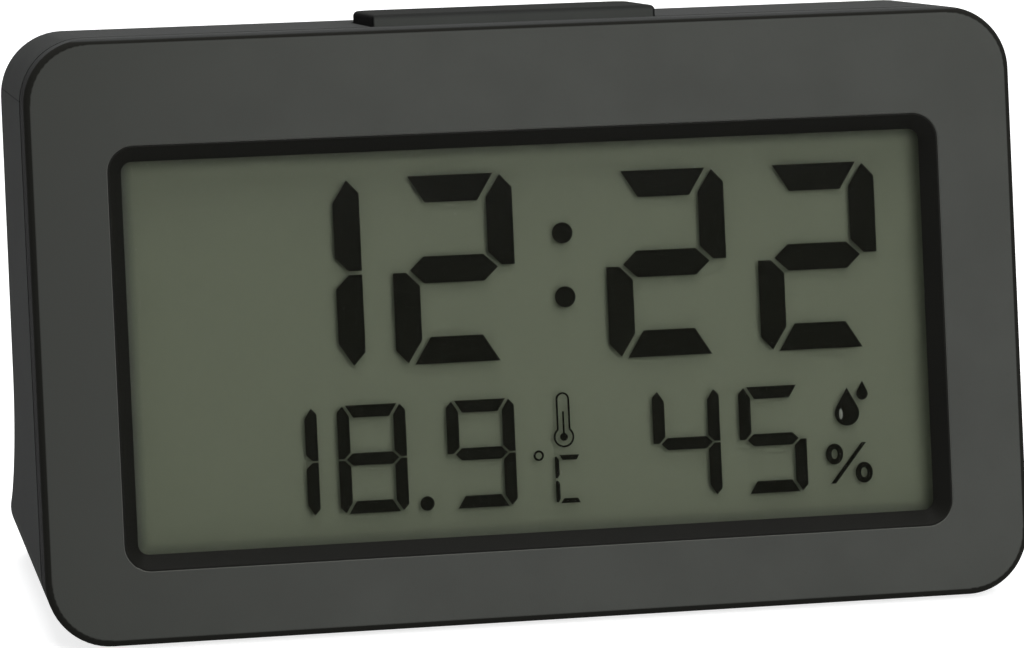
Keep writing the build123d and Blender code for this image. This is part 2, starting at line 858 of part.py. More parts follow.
with BuildPart() as rear_case:
    add(case_block(case_front, block_end))
    extrude(back_outline(), amount=case_width, both=True, mode=Mode.INTERSECT)
    back_faces = rear_case.faces().filter_by(
        lambda one: abs(one.center().X) < overrun and one.normal_at(one.center()).dot(back.z_dir) > sin(lean)
    )
    fillet(rim_of(back_faces), radius=back_edge_radius)
    add(case_block(lip_front, case_front + case_wall, lip_inset))
    add(case_room.part, mode=Mode.SUBTRACT)
    add(screw_tubes.part)
    # Screw wells and the holes through their floors
    extrude(
        discs(depth_plane(tube_floor_rear), case_boss_places, tube_bore_radius),
        amount=tube_floor_rear - block_end,
        mode=Mode.SUBTRACT,
    )
    extrude(
        discs(depth_plane(case_boss_reach), case_boss_places, screw_radius + 2 * screw_play),
        amount=-screw_floor,
        mode=Mode.SUBTRACT,
    )
    # Battery bay with a ridge between the cells
    with BuildSketch(back_plane(case_wall / 2)):
        with Locations((0, bay_row)):
            Rectangle(bay_length + 2 * bay_wall, bay_height + 2 * bay_wall)
    extrude(amount=case_wall / 2 - bay_depth - bay_floor)
    with BuildSketch(back):
        with Locations((0, bay_row)):
            Rectangle(bay_length, bay_height)
    extrude(amount=-bay_depth, mode=Mode.SUBTRACT)
    with BuildSketch(Plane(back_plane(bay_depth).origin, x_dir=back.y_dir, z_dir=back.x_dir)):
        with BuildLine():
            Polyline(
                (bay_row - cradle_width / 2, 0),
                (bay_row, cradle_height),
                (bay_row + cradle_width / 2, 0),
                close=True,
            )
        make_face()
    extrude(amount=cell_length / 2, both=True)
    # Door seat, tab notches and thumb recess
    with BuildSketch(back):
        with Locations((0, bay_row)):
            RectangleRounded(door_width + 2 * door_gap, door_height + 2 * door_gap, door_corner_radius)
    extrude(amount=-door_thickness - door_seat_gap, mode=Mode.SUBTRACT)
    with BuildSketch(back_plane(case_wall)):
        with Locations(*tab_places):
            Rectangle(tab_width + 2 * tab_side_gap, 2 * (tab_reach + door_gap))
    extrude(amount=case_wall - notch_depth, mode=Mode.SUBTRACT)
    with BuildSketch(back_plane(door_thickness)):
        with Locations(*tab_places):
            with Locations((0, -door_gap)):
                Rectangle(
                    tab_width + 2 * tab_side_gap,
                    door_gap + door_ledge,
                    align=(Align.CENTER, Align.MIN),
                )
    extrude(amount=door_thickness - case_wall, mode=Mode.SUBTRACT)
    with Locations(back.from_local_coords(Vector(0, door_top + door_gap, thumb_ball - thumb_depth))):
        Sphere(thumb_ball, mode=Mode.SUBTRACT)
    # Slots for the contact tails in the floor of the bay
    with BuildSketch(back_plane(bay_depth)):
        for row in contact_rows:
            with Locations((contact_x, row)):
                Rectangle(contact_thickness + 2 * contact_play, tail_width + 2 * contact_play)
    extrude(amount=-bay_floor, mode=Mode.SUBTRACT)
    # Bosses for the key board and the holes for the keys
    extrude(
        discs(back_plane(case_wall / 2), key_board_bosses, key_board_boss_radius),
        amount=case_wall / 2 - key_board_rear,
    )
    extrude(
        discs(back_plane(key_board_rear), key_board_bosses, small_screw_radius + screw_play),
        amount=key_board_screw_length - board_thickness,
        mode=Mode.SUBTRACT,
    )
    with BuildSketch(back):
        with Locations(*key_places):
            RectangleRounded(
                key_width + 2 * key_side_gap,
                key_height + 2 * key_side_gap,
                key_corner_radius + key_side_gap,
            )
    extrude(amount=-case_wall - case_wall / 2, mode=Mode.SUBTRACT)
    # Stepped ring for the buzzer and the sound holes inside it
    with BuildSketch(back_plane(case_wall / 2)):
        with Locations(buzzer_place):
            Circle(buzzer_radius + buzzer_play + buzzer_ring_wall)
    extrude(amount=-case_wall / 2 - buzzer_ring_height)
    with BuildSketch(back_plane(case_wall)):
        with Locations(buzzer_place):
            Circle(buzzer_radius - buzzer_step)
    extrude(amount=-buzzer_ring_height, mode=Mode.SUBTRACT)
    with BuildSketch(back_plane(case_wall + buzzer_air)):
        with Locations(buzzer_place):
            Circle(buzzer_radius + buzzer_play)
    extrude(amount=buzzer_air - buzzer_ring_height, mode=Mode.SUBTRACT)
    with BuildSketch(back):
        with Locations(buzzer_place):
            Circle(sound_hole_radius)
            with PolarLocations(sound_hole_circle, sound_hole_count):
                Circle(sound_hole_radius)
    extrude(amount=-case_wall, mode=Mode.SUBTRACT)
    # Vents in front of the sensor
    with BuildSketch(back):
        with Locations(vent_place):
            with GridLocations(vent_length, vent_spacing, 1, vent_count):
                SlotOverall(vent_length, vent_width)
    extrude(amount=-case_wall, mode=Mode.SUBTRACT)
    # Opening for the bar, which the bezel closes at the front
    bar_hole_front = case_front - lip_reach
    bar_hole_rear = bar_front + bar_length + bar_side_gap
    with BuildSketch(roof) as bar_hole:
        with Locations((0, bar_hole_front)):
            Rectangle(
                bar_width + 2 * bar_side_gap,
                bar_hole_rear - bar_hole_front,
                align=(Align.CENTER, Align.MIN),
            )
        rear_corners = bar_hole.vertices().group_by(Axis(roof.origin, roof.y_dir))[-1]
        fillet(rear_corners, radius=bar_rear_radius + bar_side_gap)
    extrude(amount=-case_wall - overrun, mode=Mode.SUBTRACT)
    # Recesses for the feet
    extrude(
        discs(Plane.XY, foot_places, foot_radius + foot_play),
        amount=foot_rise + foot_recess,
        mode=Mode.SUBTRACT,
    )
save(rear_case, "rear_case")

# Battery door with its tabs, its sprung latch and the grip on it
with BuildPart() as battery_door:
    with BuildSketch(back):
        with Locations((0, bay_row)):
            RectangleRounded(door_width, door_height, door_corner_radius)
    extrude(amount=-door_thickness)
    chamfer(battery_door.faces().sort_by(Axis(back.origin, back.z_dir))[-1].edges(), length=door_edge_bevel)
    with BuildSketch(back):
        for side_x in (-1, 1):
            with Locations((side_x * (latch_width + latch_slot) / 2, door_top)):
                Rectangle(latch_slot, latch_length, align=(Align.CENTER, Align.MAX))
    extrude(amount=-door_thickness, mode=Mode.SUBTRACT)
    with BuildSketch(back_plane(door_thickness)):
        with Locations(*tab_places):
            Rectangle(tab_width, door_ledge, align=(Align.CENTER, Align.MIN))
    extrude(amount=door_thickness - tab_front - tab_thickness)
    with BuildSketch(back_plane(tab_front)):
        with Locations(*tab_places):
            with Locations((0, -tab_reach)):
                Rectangle(tab_width, tab_reach + door_ledge, align=(Align.CENTER, Align.MIN))
    extrude(amount=-tab_thickness)
    latch_side = back.from_local_coords(Vector(-latch_width / 2, 0, 0))
    grip_base = Plane(latch_side, x_dir=back.y_dir, z_dir=back.x_dir)
    with BuildSketch(grip_base):
        with Locations((door_top - latch_length / 2, 0)):
            with GridLocations(grip_spacing, grip_spacing, grip_count, 1):
                Circle(grip_radius)
    extrude(amount=latch_width)
save(battery_door, "battery_door")

# Keys: a cap through the back with a flange behind the wall
for name, place in zip(key_names, key_places):
    with BuildPart() as key:
        with BuildSketch(back.offset(key_rise)):
            with Locations(place):
                RectangleRounded(key_width, key_height, key_corner_radius)
        extrude(amount=-key_rise - key_flange_front)
        chamfer(key.faces().sort_by(Axis(back.origin, back.z_dir))[-1].edges(), length=key_edge_bevel)
        with BuildSketch(back_plane(key_flange_front)):
            with Locations(place):
                RectangleRounded(
                    key_width + 2 * key_flange_reach,
                    key_height + 2 * key_flange_reach,
                    key_corner_radius,
                )
        extrude(amount=-key_flange)
    save(key, name)

# Key board with a switch in front of each key, and its flat cable
with BuildPart() as key_board:
    with BuildSketch(back_plane(key_board_rear)):
        with Locations((0, key_row)):
            RectangleRounded(key_board_width, key_board_height, board_corner_radius)
        with Locations(*key_board_bosses):
            Circle(small_screw_radius + 2 * screw_play, mode=Mode.SUBTRACT)
    extrude(amount=-board_thickness)
save(key_board, "key_board")

with BuildPart() as key_switches:
    seat = back_plane(key_board_rear)
    for place in key_places:
        foot = seat.from_local_coords(Vector(*place, 0))
        add(push_switch(Plane(foot, x_dir=seat.x_dir, z_dir=seat.z_dir)))
save(key_switches, "key_switches")

cable_start = -face.to_local_coords(back_plane(key_board_front).from_local_coords(Vector(0, key_row, 0))).Z
cable_height = hollow_start_height + key_row * cos(back_turn)
cable_plane = Plane(spot(key_cable_x, 0, 0), x_dir=side.x_dir, z_dir=side.z_dir)
with BuildPart() as key_cable:
    with BuildSketch(cable_plane):
        with BuildLine():
            cable_turn = (cable_start + board_rear) / 2
            FilletPolyline(
                (cable_start - key_cable_gap, cable_height),
                (cable_turn, cable_height),
                (cable_turn, cable_height - 2 * key_cable_bend - key_cable_gap),
                (board_rear, cable_height - 2 * key_cable_bend - key_cable_gap),
                radius=key_cable_bend,
            )
        trace(line_width=key_cable_thickness)
    extrude(amount=key_cable_width / 2, both=True)
save(key_cable, "key_cable")

# Cells: the upper one points to one end of the bay, the lower one to the other
cell_start = spring_length + contact_thickness + spring_end_gap - bay_length / 2


def cell_frame(row, end):
    """Plane at the spring end of a cell, with its normal along the cell."""
    origin = back.from_local_coords(Vector(end * cell_start, row, -cell_depth))
    return Plane(origin, x_dir=back.y_dir, z_dir=back.x_dir * end)


for name, row, end in (("upper_cell", contact_rows[0], 1), ("lower_cell", contact_rows[1], -1)):
    with BuildPart() as cell:
        base = cell_frame(row, end)
        with BuildSketch(base):
            Circle(cell_radius)
        extrude(amount=cell_length - cell_nub_height)
        chamfer(cell.edges().filter_by(GeomType.CIRCLE), length=cell_edge_bevel)
        with BuildSketch(base.offset(cell_length - cell_nub_height)):
            Circle(cell_nub_radius)
        extrude(amount=cell_nub_height)
    save(cell, name)

# Contacts: plates against the end walls, two of them with tails down to the board
contact_top = cell_depth - contact_height / 2


def contact_plate(end, row, width):
    """Sketch of a plate's edge, on the plane of its top."""
    with BuildSketch(back_plane(contact_top)) as edge:
        with Locations((end * contact_x, row)):
            Rectangle(contact_thickness, width)
    return edge.sketch


def contact_dimple(end, row):
    """Disc on a plate where the nub of a cell touches it."""
    middle = back.from_local_coords(Vector(end * (contact_x - contact_thickness / 2), row, -cell_depth))
    with BuildSketch(Plane(middle, x_dir=back.y_dir, z_dir=back.x_dir * -end)) as disc:
        Circle(dimple_radius)
    return disc.sketch


def tail_foot(row):
    """Place on the face where the tail of a contact in a row meets the board."""
    reach = back_depth(hollow_start_height + row) - board_rear
    return face.to_local_coords(back.from_local_coords(Vector(contact_x, row, -reach)))


contact_kinds = (("positive_contact", contact_rows[0], True), ("negative_contact", contact_rows[1], False))
for name, row, dimpled in contact_kinds:
    with BuildPart() as contact:
        foot = tail_foot(row)
        extrude(contact_plate(1, row, contact_width), amount=-contact_height)
        extrude(
            contact_plate(1, row, tail_width),
            amount=contact_top + board_rear + contact_thickness / 2 - back_depth(hollow_start_height + row),
        )
        if dimpled:
            extrude(contact_dimple(1, row), amount=dimple_height, taper=dimple_taper)
        with BuildSketch(depth_plane(board_rear)):
            with Locations((foot.X + contact_thickness / 2, foot.Y)):
                Rectangle(contact_foot, tail_width, align=(Align.MAX, Align.CENTER))
        extrude(amount=-contact_thickness)
    save(contact, name)

with BuildPart() as bridge_contact:
    extrude(contact_plate(-1, bay_row, 2 * cell_offset + contact_width), amount=-contact_height)
    extrude(contact_dimple(-1, contact_rows[1]), amount=dimple_height, taper=dimple_taper)
save(bridge_contact, "bridge_contact")


def coil_point(frame, turn):
    """Point and direction on the tapering coil after a number of turns."""
    share = turn / spring_turns
    radius = spring_base_radius + (spring_tip_radius - spring_base_radius) * share
    shrink = (spring_tip_radius - spring_base_radius) / spring_turns
    rise = (spring_length - 2 * spring_wire_radius) / spring_turns
    angle = 2 * pi * turn
    point = Vector(radius * cos(angle), radius * sin(angle), spring_wire_radius + rise * turn)
    heading = Vector(
        shrink * cos(angle) - 2 * pi * radius * sin(angle),
        shrink * sin(angle) + 2 * pi * radius * cos(angle),
        rise,
    )
    origin = frame.from_local_coords(Vector(0, 0, 0))
    return frame.from_local_coords(point), (frame.from_local_coords(heading) - origin).normalized()


def biarc_joint(start, start_way, end, end_way):
    """Point where two tangent arcs meet, and the way the curve runs there."""
    chord = end - start
    ways = start_way + end_way
    bend = 2 * (1 - start_way.dot(end_way))
    reach = (-chord.dot(ways) + (chord.dot(ways) ** 2 + bend * chord.dot(chord)) ** 0.5) / bend
    before = start + start_way * reach
    after = end - end_way * reach
    return (before + after) / 2, (after - before).normalized()


def least_coil_gap(frame):
    """Least clear distance between neighbouring turns, on points along the coil."""
    steps = int(spring_turns * 24)
    points = [coil_point(frame, spring_turns * step / steps)[0] for step in range(steps + 1)]
    apart = steps // int(spring_turns * 2)
    gaps = [
        (points[first] - points[second]).length
        for first in range(steps + 1)
        for second in range(first + apart, steps + 1)
    ]
    return min(gaps) - 2 * spring_wire_radius


for name, row, end in (("negative_spring", contact_rows[1], 1), ("bridge_spring", contact_rows[0], -1)):
    seat = back.from_local_coords(Vector(end * (contact_x - contact_thickness / 2), row, -cell_depth))
    frame = Plane(seat, x_dir=back.y_dir, z_dir=back.x_dir * -end)
    quarter_turns = int(4 * spring_turns)
    with BuildPart() as spring:
        with BuildLine() as coil:
            for quarter in range(quarter_turns):
                start, start_way = coil_point(frame, quarter / 4)
                end_point, end_way = coil_point(frame, (quarter + 1) / 4)
                joint, joint_way = biarc_joint(start, start_way, end_point, end_way)
                TangentArc(start, joint, tangent=start_way)
                TangentArc(joint, end_point, tangent=joint_way)
        with BuildSketch(Plane(coil_point(frame, 0)[0], z_dir=coil_point(frame, 0)[1])):
            RegularPolygon(spring_wire_radius, spring_wire_sides)
        sweep(path=coil.wires()[0])
    save(spring, name)
    print(name, "least gap between turns", round(least_coil_gap(frame), 2), "allowed", spring_least_gap)

# Buzzer disc on the step of its ring
with BuildPart() as buzzer_disc:
    with BuildSketch(back_plane(case_wall + buzzer_air)):
        with Locations(buzzer_place):
            Circle(buzzer_radius)
    extrude(amount=-buzzer_thickness)
    with BuildSketch(back_plane(case_wall + buzzer_air + buzzer_thickness)):
        with Locations(buzzer_place):
            Circle(buzzer_ceramic_radius)
    extrude(amount=-buzzer_ceramic_thickness)
save(buzzer_disc, "buzzer_disc")

# Rubber feet in the underside
with BuildPart() as rubber_feet:
    extrude(discs(Plane.XY, foot_places, foot_radius), amount=foot_rise + foot_recess)
    chamfer(rubber_feet.faces().group_by(Axis.Z)[0].edges(), length=foot_edge_bevel)
save(rubber_feet, "rubber_feet")

# Screws
rearward = Plane(face.origin, x_dir=(-1, 0, 0), z_dir=-face.z_dir)
with BuildPart() as case_screws:
    heads = rearward.offset(tube_floor_rear)
    add(
        screws(
            heads,
            case_boss_places,
            case_screw_length,
            screw_radius,
            screw_head_radius,
            screw_head_height,
        )
    )
    tops = case_screws.faces().group_by(Axis(heads.origin, heads.z_dir))[-1]
    chamfer(tops.edges(), length=screw_head_bevel)
    extrude(
        cross_slots(heads.offset(screw_head_height), case_boss_places, screw_radius),
        amount=-cross_slot_depth,
        mode=Mode.SUBTRACT,
    )
save(case_screws, "case_screws")
holder_screws = screws(
    rearward.offset(holder_rear),
    holder_boss_places,
    holder_screw_length,
    small_screw_radius,
    small_screw_head_radius,
    small_screw_head_height,
)
board_screws = screws(
    rearward.offset(board_rear),
    board_screw_places,
    board_screw_length,
    small_screw_radius,
    small_screw_head_radius,
    small_screw_head_height,
)
forward_from_keys = back_plane(key_board_front)
key_board_screws = screws(
    Plane(forward_from_keys.origin, x_dir=(1, 0, 0), z_dir=-back.z_dir),
    key_board_bosses,
    key_board_screw_length,
    small_screw_radius,
    small_screw_head_radius,
    small_screw_head_height,
)
for name, group in (
    ("holder_screws", holder_screws),
    ("board_screws", board_screws),
    ("key_board_screws", key_board_screws),
):
    group.label = name
    export_step(group, f"parts/{name}.step")
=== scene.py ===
import math

import bmesh
import bpy
from mathutils import Matrix, Vector


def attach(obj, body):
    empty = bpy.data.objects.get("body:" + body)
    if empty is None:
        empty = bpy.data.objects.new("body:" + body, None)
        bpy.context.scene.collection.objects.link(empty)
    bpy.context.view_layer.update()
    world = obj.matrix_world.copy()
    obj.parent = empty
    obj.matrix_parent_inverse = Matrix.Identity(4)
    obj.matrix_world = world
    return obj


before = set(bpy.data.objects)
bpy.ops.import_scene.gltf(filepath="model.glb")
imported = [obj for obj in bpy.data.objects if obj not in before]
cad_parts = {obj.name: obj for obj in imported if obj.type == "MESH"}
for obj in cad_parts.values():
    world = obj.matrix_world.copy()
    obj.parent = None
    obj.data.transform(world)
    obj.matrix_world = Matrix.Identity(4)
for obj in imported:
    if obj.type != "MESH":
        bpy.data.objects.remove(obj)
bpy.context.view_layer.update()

# Every length is in millimetres until a point is made from it
MM = 0.001
ACROSS = Vector((1, 0, 0))


class Plot:
    """A plane to lay shapes on: across and up in millimetres, and a rise out of it."""

    def __init__(self, origin, across, up, out):
        self.origin, self.across, self.up, self.out = origin, across, up, out

    def spot(self, x, y, rise=0.0):
        """A point over the plane, in millimetres."""
        return self.origin + self.across * x + self.up * y + self.out * rise

    def at(self, x, y, rise=0.0):
        """The same point in metres."""
        return self.spot(x, y, rise) * MM

    def moved(self, x, y, rise=0.0):
        """A plane through another spot, turned the same way."""
        return Plot(self.spot(x, y, rise), self.across, self.up, self.out)


# The display face and the flat of the back, each seen from outside
FACE_UP = Vector((0, 0.210472, 0.9776))
FACE_OUT = Vector((0, -0.9776, 0.210472))
BACK_UP = Vector((0, 0.176226, 0.98435))
BACK_OUT = Vector((0, 0.98435, -0.176226))
FACE = Plot(Vector((0, -17.6844, 36.9667)), ACROSS, FACE_UP, FACE_OUT)
BACK = Plot(Vector((0, 10.2226, 27.3783)), -ACROSS, BACK_UP, BACK_OUT)

# The roof from its front edge, and the plane of a thin dark line along the case's side walls
FACE_TOP = 37.2
ROOF_ORIGIN = FACE.spot(0, FACE_TOP)
ROOF_OUT = Vector((0, 0.134851, 0.990866))
SIDE_LINE_ORIGIN = Vector((0, -7.98, 65.44))
SIDE_LINE_OUT = Vector((0, 0.107376, 0.994218))

# Middle of the bezel's window and of the display inside the trim, and half their width and height
WINDOW_RISE = -2.0
WINDOW_CENTRE = FACE.spot(0, WINDOW_RISE)
WINDOW_HALF_WIDTH = 54.2
WINDOW_HALF_HEIGHT = 27.6
DISPLAY_SHIFT = 0.55
DISPLAY_CENTRE = FACE.spot(DISPLAY_SHIFT, WINDOW_RISE)
DISPLAY_HALF_WIDTH = 50.7
DISPLAY_HALF_HEIGHT = 24.1

# Layers of the display, by their depth behind the face
SEGMENT_DEPTH = 3.97
FILM_DEPTH = 4.68
FILM_HALF_WIDTH = 51.8
FILM_HALF_HEIGHT = 25.2
LAYER_THICKNESS = 0.04

# Keys on the back, from left to right as seen from behind
KEY_PLACES = {"mode": -21, "up": -7, "down": 7, "alarm": 21}
KEY_ROW = 33.5655
KEY_RISE = 0.88

# Camera: place and axes in the face's own directions, from the fit to the photograph
CAMERA_PLACE = (-140.946, 16.202, 654.527)
CAMERA_RIGHT = (0.977345, -0.044549, 0.206912)
CAMERA_UP = (0.048587, 0.998714, -0.014475)
FOCAL_LENGTH = 189.84
SENSOR_WIDTH = 36


def from_face(x, up, out):
    """A direction in space from one in the face's own directions."""
    return ACROSS * x + FACE_UP * up + FACE_OUT * out


camera_data = bpy.data.cameras.new("camera")
camera_data.sensor_fit = "HORIZONTAL"
camera_data.sensor_width = SENSOR_WIDTH
camera_data.lens = FOCAL_LENGTH
camera_data.clip_start = 0.05
camera_data.clip_end = 20
camera = bpy.data.objects.new("camera", camera_data)
bpy.context.scene.collection.objects.link(camera)
bpy.context.scene.camera = camera
right = from_face(*CAMERA_RIGHT).normalized()
upward = from_face(*CAMERA_UP).normalized()
backward = right.cross(upward).normalized()
turned = Matrix((right, upward, backward)).transposed().to_4x4()
turned.translation = FACE.at(*CAMERA_PLACE)
camera.matrix_world = turned


# Node helpers: every material is a node tree on object coordinates, which are in metres.
# A noise lies mostly between the two values of the range.
NOISE_RANGE = (0.3, 0.7)


def new_material(name):
    material = bpy.data.materials.new(name)
    material.use_nodes = True
    tree = material.node_tree
    shader = tree.nodes["Principled BSDF"]
    place = tree.nodes.new("ShaderNodeTexCoord").outputs["Object"]
    return material, tree, shader, place


def feed(tree, socket, value):
    """Gives a node's input another socket, a number or a colour."""
    if isinstance(value, bpy.types.NodeSocket):
        tree.links.new(value, socket)
    elif isinstance(value, (int, float)):
        socket.default_value = value
    else:
        socket.default_value = (*value, 1)


def noise(tree, place, size, detail=2.0, roughness=0.5, stretch=(1, 1, 1)):
    """Noise whose grains are about size millimetres across."""
    mapping = tree.nodes.new("ShaderNodeMapping")
    mapping.inputs["Scale"].default_value = [s / (size * MM) for s in stretch]
    tree.links.new(place, mapping.inputs["Vector"])
    texture = tree.nodes.new("ShaderNodeTexNoise")
    texture.inputs["Scale"].default_value = 1.0
    texture.inputs["Detail"].default_value = detail
    texture.inputs["Roughness"].default_value = roughness
    tree.links.new(mapping.outputs["Vector"], texture.inputs["Vector"])
    return texture.outputs["Fac"]


def span(tree, value, low, high, to_low, to_high):
    """A value from one range mapped into another, and held there."""
    node = tree.nodes.new("ShaderNodeMapRange")
    for name, number in (("From Min", low), ("From Max", high), ("To Min", to_low), ("To Max", to_high)):
        node.inputs[name].default_value = number
    tree.links.new(value, node.inputs["Value"])
    return node.outputs["Result"]


def share(tree, value, low, high):
    """A share that grows from 0 at low to 1 at high."""
    return span(tree, value, low, high, 0, 1)


def mix(tree, part, first, second):
    """Colour between two, which are sockets or plain colours."""
    node = tree.nodes.new("ShaderNodeMix")
    node.data_type = "RGBA"
    for socket, value in ((node.inputs[0], part), (node.inputs[6], first), (node.inputs[7], second)):
        feed(tree, socket, value)
    return node.outputs[2]


def maths(tree, kind, first, second=0.0):
    """Result of a maths node, on sockets or plain numbers."""
    node = tree.nodes.new("ShaderNodeMath")
    node.operation = kind
    feed(tree, node.inputs[0], first)
    feed(tree, node.inputs[1], second)
    return node.outputs[0]


def paint(tree, shader, base, grain, low, high):
    """Sets the colour, and a roughness that follows a grain from low to high."""
    tree.links.new(base, shader.inputs["Base Color"])
    tree.links.new(span(tree, grain, *NOISE_RANGE, low, high), shader.inputs["Roughness"])


def bump(tree, shader, height, depth):
    """Bump of a height from 0 to 1 that stands for depth millimetres."""
    node = tree.nodes.new("ShaderNodeBump")
    node.inputs["Strength"].default_value = 1.0
    node.inputs["Distance"].default_value = depth * MM
    tree.links.new(height, node.inputs["Height"])
    tree.links.new(node.outputs["Normal"], shader.inputs["Normal"])


def along(tree, place, origin, way):
    """Distance in millimetres from a point, measured along a direction."""
    node = tree.nodes.new("ShaderNodeVectorMath")
    node.operation = "DOT_PRODUCT"
    tree.links.new(place, node.inputs[0])
    node.inputs[1].default_value = way
    reach = maths(tree, "MULTIPLY", node.outputs["Value"], 1 / MM)
    return maths(tree, "SUBTRACT", reach, origin.dot(way))


def away(tree, place, origin, way):
    """The same distance to either side."""
    return maths(tree, "ABSOLUTE", along(tree, place, origin, way))


def assign(material, *names):
    for name in names:
        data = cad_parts[name].data
        data.materials.clear()
        data.materials.append(material)


# Moulded plastics. Each pair says where an area of the bezel, the case or the bar begins and ends: a depth
# behind the face, a rise over the roof, or a distance from the middle, the window's edge or a line.
CASE_COLOUR = (0.03, 0.031, 0.03)
# Painted light: the roof and the bezel's shoulders are painted paler where the top lamp falls on them
PAINTED_ROOF_LIGHT = (0.036, 0.037, 0.036)
PAINTED_LIGHT_ROOF_RISES = (-0.35, -0.15)
PAINTED_LIGHT_SHOULDER_RISES = (-6.0, -0.3)
BAR_TOP_RISES = (0.8, 1.2)
# Painted shade: the bezel's face is painted darker towards its left end
PAINTED_SHADE_LEFT_END = (-62, -22)
# Painted shade: the bezel's rounded rim and its sides are painted dark
PAINTED_SHADE_RIM_DEPTHS = (0.004, 0.03)
SIDE_DEPTHS = (0.8, 1.0)
# Painted highlight: a paler edge round the window
PAINTED_HIGHLIGHT_WINDOW_DEPTHS = (0.01, 0.05)
WINDOW_EDGE = (-0.2, 0.2)
SIDE_LINE_SPAN = (0.05, 0.1)
SIDE_WALL = (61.0, 61.5)
# Painted shade: the bar's ends are painted dark
PAINTED_SHADE_BAR_END = (17.7, 17.9)
CLOUD_SIZE = 9
SPECK_SIZE = 0.5


def moulded(name, colour, roughness=0.6, grain=0.16, grain_depth=0.01, mottle=0.04, gloss=0.14, areas=None):
    """Plastic from a spark-eroded mould: fine grain, faint clouds and specks.

    areas is a function that gives shares and the colours that they turn the plastic to.
    """
    material, tree, shader, place = new_material(name)
    fine = noise(tree, place, grain, detail=3, roughness=0.6)
    cloud = noise(tree, place, CLOUD_SIZE, detail=3)
    specks = noise(tree, place, SPECK_SIZE, detail=1)
    darker = [c * (1 - mottle) for c in colour]
    lighter = [c * (1 + mottle) for c in colour]
    base = mix(tree, share(tree, cloud, 0.35, 0.65), darker, lighter)
    base = mix(tree, span(tree, specks, 0.6, 0.8, 0, 0.15), base, [c * 0.8 for c in colour])
    for part, shade in areas(tree, place) if areas else ():
        base = mix(tree, part, base, shade)
    paint(tree, shader, base, fine, roughness - 0.05, roughness + 0.06)
    shader.inputs["Specular IOR Level"].default_value = gloss
    bump(tree, shader, fine, grain_depth)
    return material


def bezel_areas(tree, place):
    """Painted shade on a darker left end, the rim and the sides; painted light on paler shoulders and roof,
    and a painted highlight round the window's edge.
    """
    depth = along(tree, place, FACE.origin, -FACE_OUT)
    side = along(tree, place, FACE.origin, ACROSS)
    past_side = maths(tree, "SUBTRACT", away(tree, place, WINDOW_CENTRE, ACROSS), WINDOW_HALF_WIDTH)
    past_end = maths(tree, "SUBTRACT", away(tree, place, WINDOW_CENTRE, FACE_UP), WINDOW_HALF_HEIGHT)
    outside = share(tree, maths(tree, "MAXIMUM", past_side, past_end), *WINDOW_EDGE)
    inside = maths(tree, "SUBTRACT", 1.0, outside)
    rise = along(tree, place, ROOF_ORIGIN, ROOF_OUT)
    # Painted shade, darker towards the left end
    left = span(tree, side, *PAINTED_SHADE_LEFT_END, 1, 0)
    # Painted shade on the rim and on the sides
    painted_rim_shade = maths(tree, "MULTIPLY", share(tree, depth, *PAINTED_SHADE_RIM_DEPTHS), outside)
    sides = maths(tree, "MULTIPLY", share(tree, depth, *SIDE_DEPTHS), outside)
    # Painted light on the shoulders
    painted_shoulder_light = maths(tree, "MULTIPLY", sides, share(tree, rise, *PAINTED_LIGHT_SHOULDER_RISES))
    # Painted highlight round the window's edge
    window = maths(tree, "MULTIPLY", share(tree, depth, *PAINTED_HIGHLIGHT_WINDOW_DEPTHS), inside)
    return (
        (left, (0.042, 0.0436, 0.0396)),
        (painted_rim_shade, (0.011, 0.011, 0.0095)),
        (sides, (0.005, 0.005, 0.005)),
        (painted_shoulder_light, PAINTED_ROOF_LIGHT),
        (share(tree, rise, *PAINTED_LIGHT_ROOF_RISES), PAINTED_ROOF_LIGHT),
        (window, (0.075, 0.077, 0.07)),
    )


def case_areas(tree, place):
    """The roof painted paler, which is painted light, and a thin dark line along both side walls."""
    # Painted light on the roof
    roof = share(tree, along(tree, place, ROOF_ORIGIN, ROOF_OUT), *PAINTED_LIGHT_ROOF_RISES)
    near = span(tree, away(tree, place, SIDE_LINE_ORIGIN, SIDE_LINE_OUT), *SIDE_LINE_SPAN, 1, 0)
    on_side = share(tree, away(tree, place, FACE.origin, ACROSS), *SIDE_WALL)
    line = maths(tree, "MULTIPLY", near, on_side)
    return (roof, (0.037, 0.038, 0.037)), (line, (0.006, 0.006, 0.006))


def bar_areas(tree, place):
    """The bar's darker upper face, and its ends painted dark, which is painted shade."""
    upper = share(tree, along(tree, place, ROOF_ORIGIN, ROOF_OUT), *BAR_TOP_RISES)
    # Painted shade on the bar's ends
    ends = share(tree, away(tree, place, FACE.origin, ACROSS), *PAINTED_SHADE_BAR_END)
    return (upper, (0.02, 0.0205, 0.0195)), (ends, (0.004, 0.004, 0.004))


bezel_plastic = moulded(
    "bezel_plastic", (0.053, 0.055, 0.05), roughness=0.8, gloss=0.025, areas=bezel_areas,
)
trim_plastic = moulded(
    "trim_plastic", (0.006, 0.006, 0.005), roughness=0.5, grain=0.4, grain_depth=0.004, gloss=0.05,
)
case_plastic = moulded("case_plastic", CASE_COLOUR, roughness=0.8, gloss=0.022, areas=case_areas)
bar_plastic = moulded(
    "bar_plastic", (0.054, 0.0565, 0.0525), roughness=0.85, gloss=0.012, areas=bar_areas,
)
key_plastic = moulded("key_plastic", (0.024, 0.025, 0.024), roughness=0.55)
door_plastic = moulded("door_plastic", CASE_COLOUR, roughness=0.8, gloss=0.022)
switch_plastic = moulded("switch_plastic", (0.012, 0.012, 0.013), roughness=0.4, grain=0.3)
holder_plastic = moulded(
    "holder_plastic", (0.62, 0.62, 0.58), roughness=0.45, grain=0.3, mottle=0.02, gloss=0.4,
)
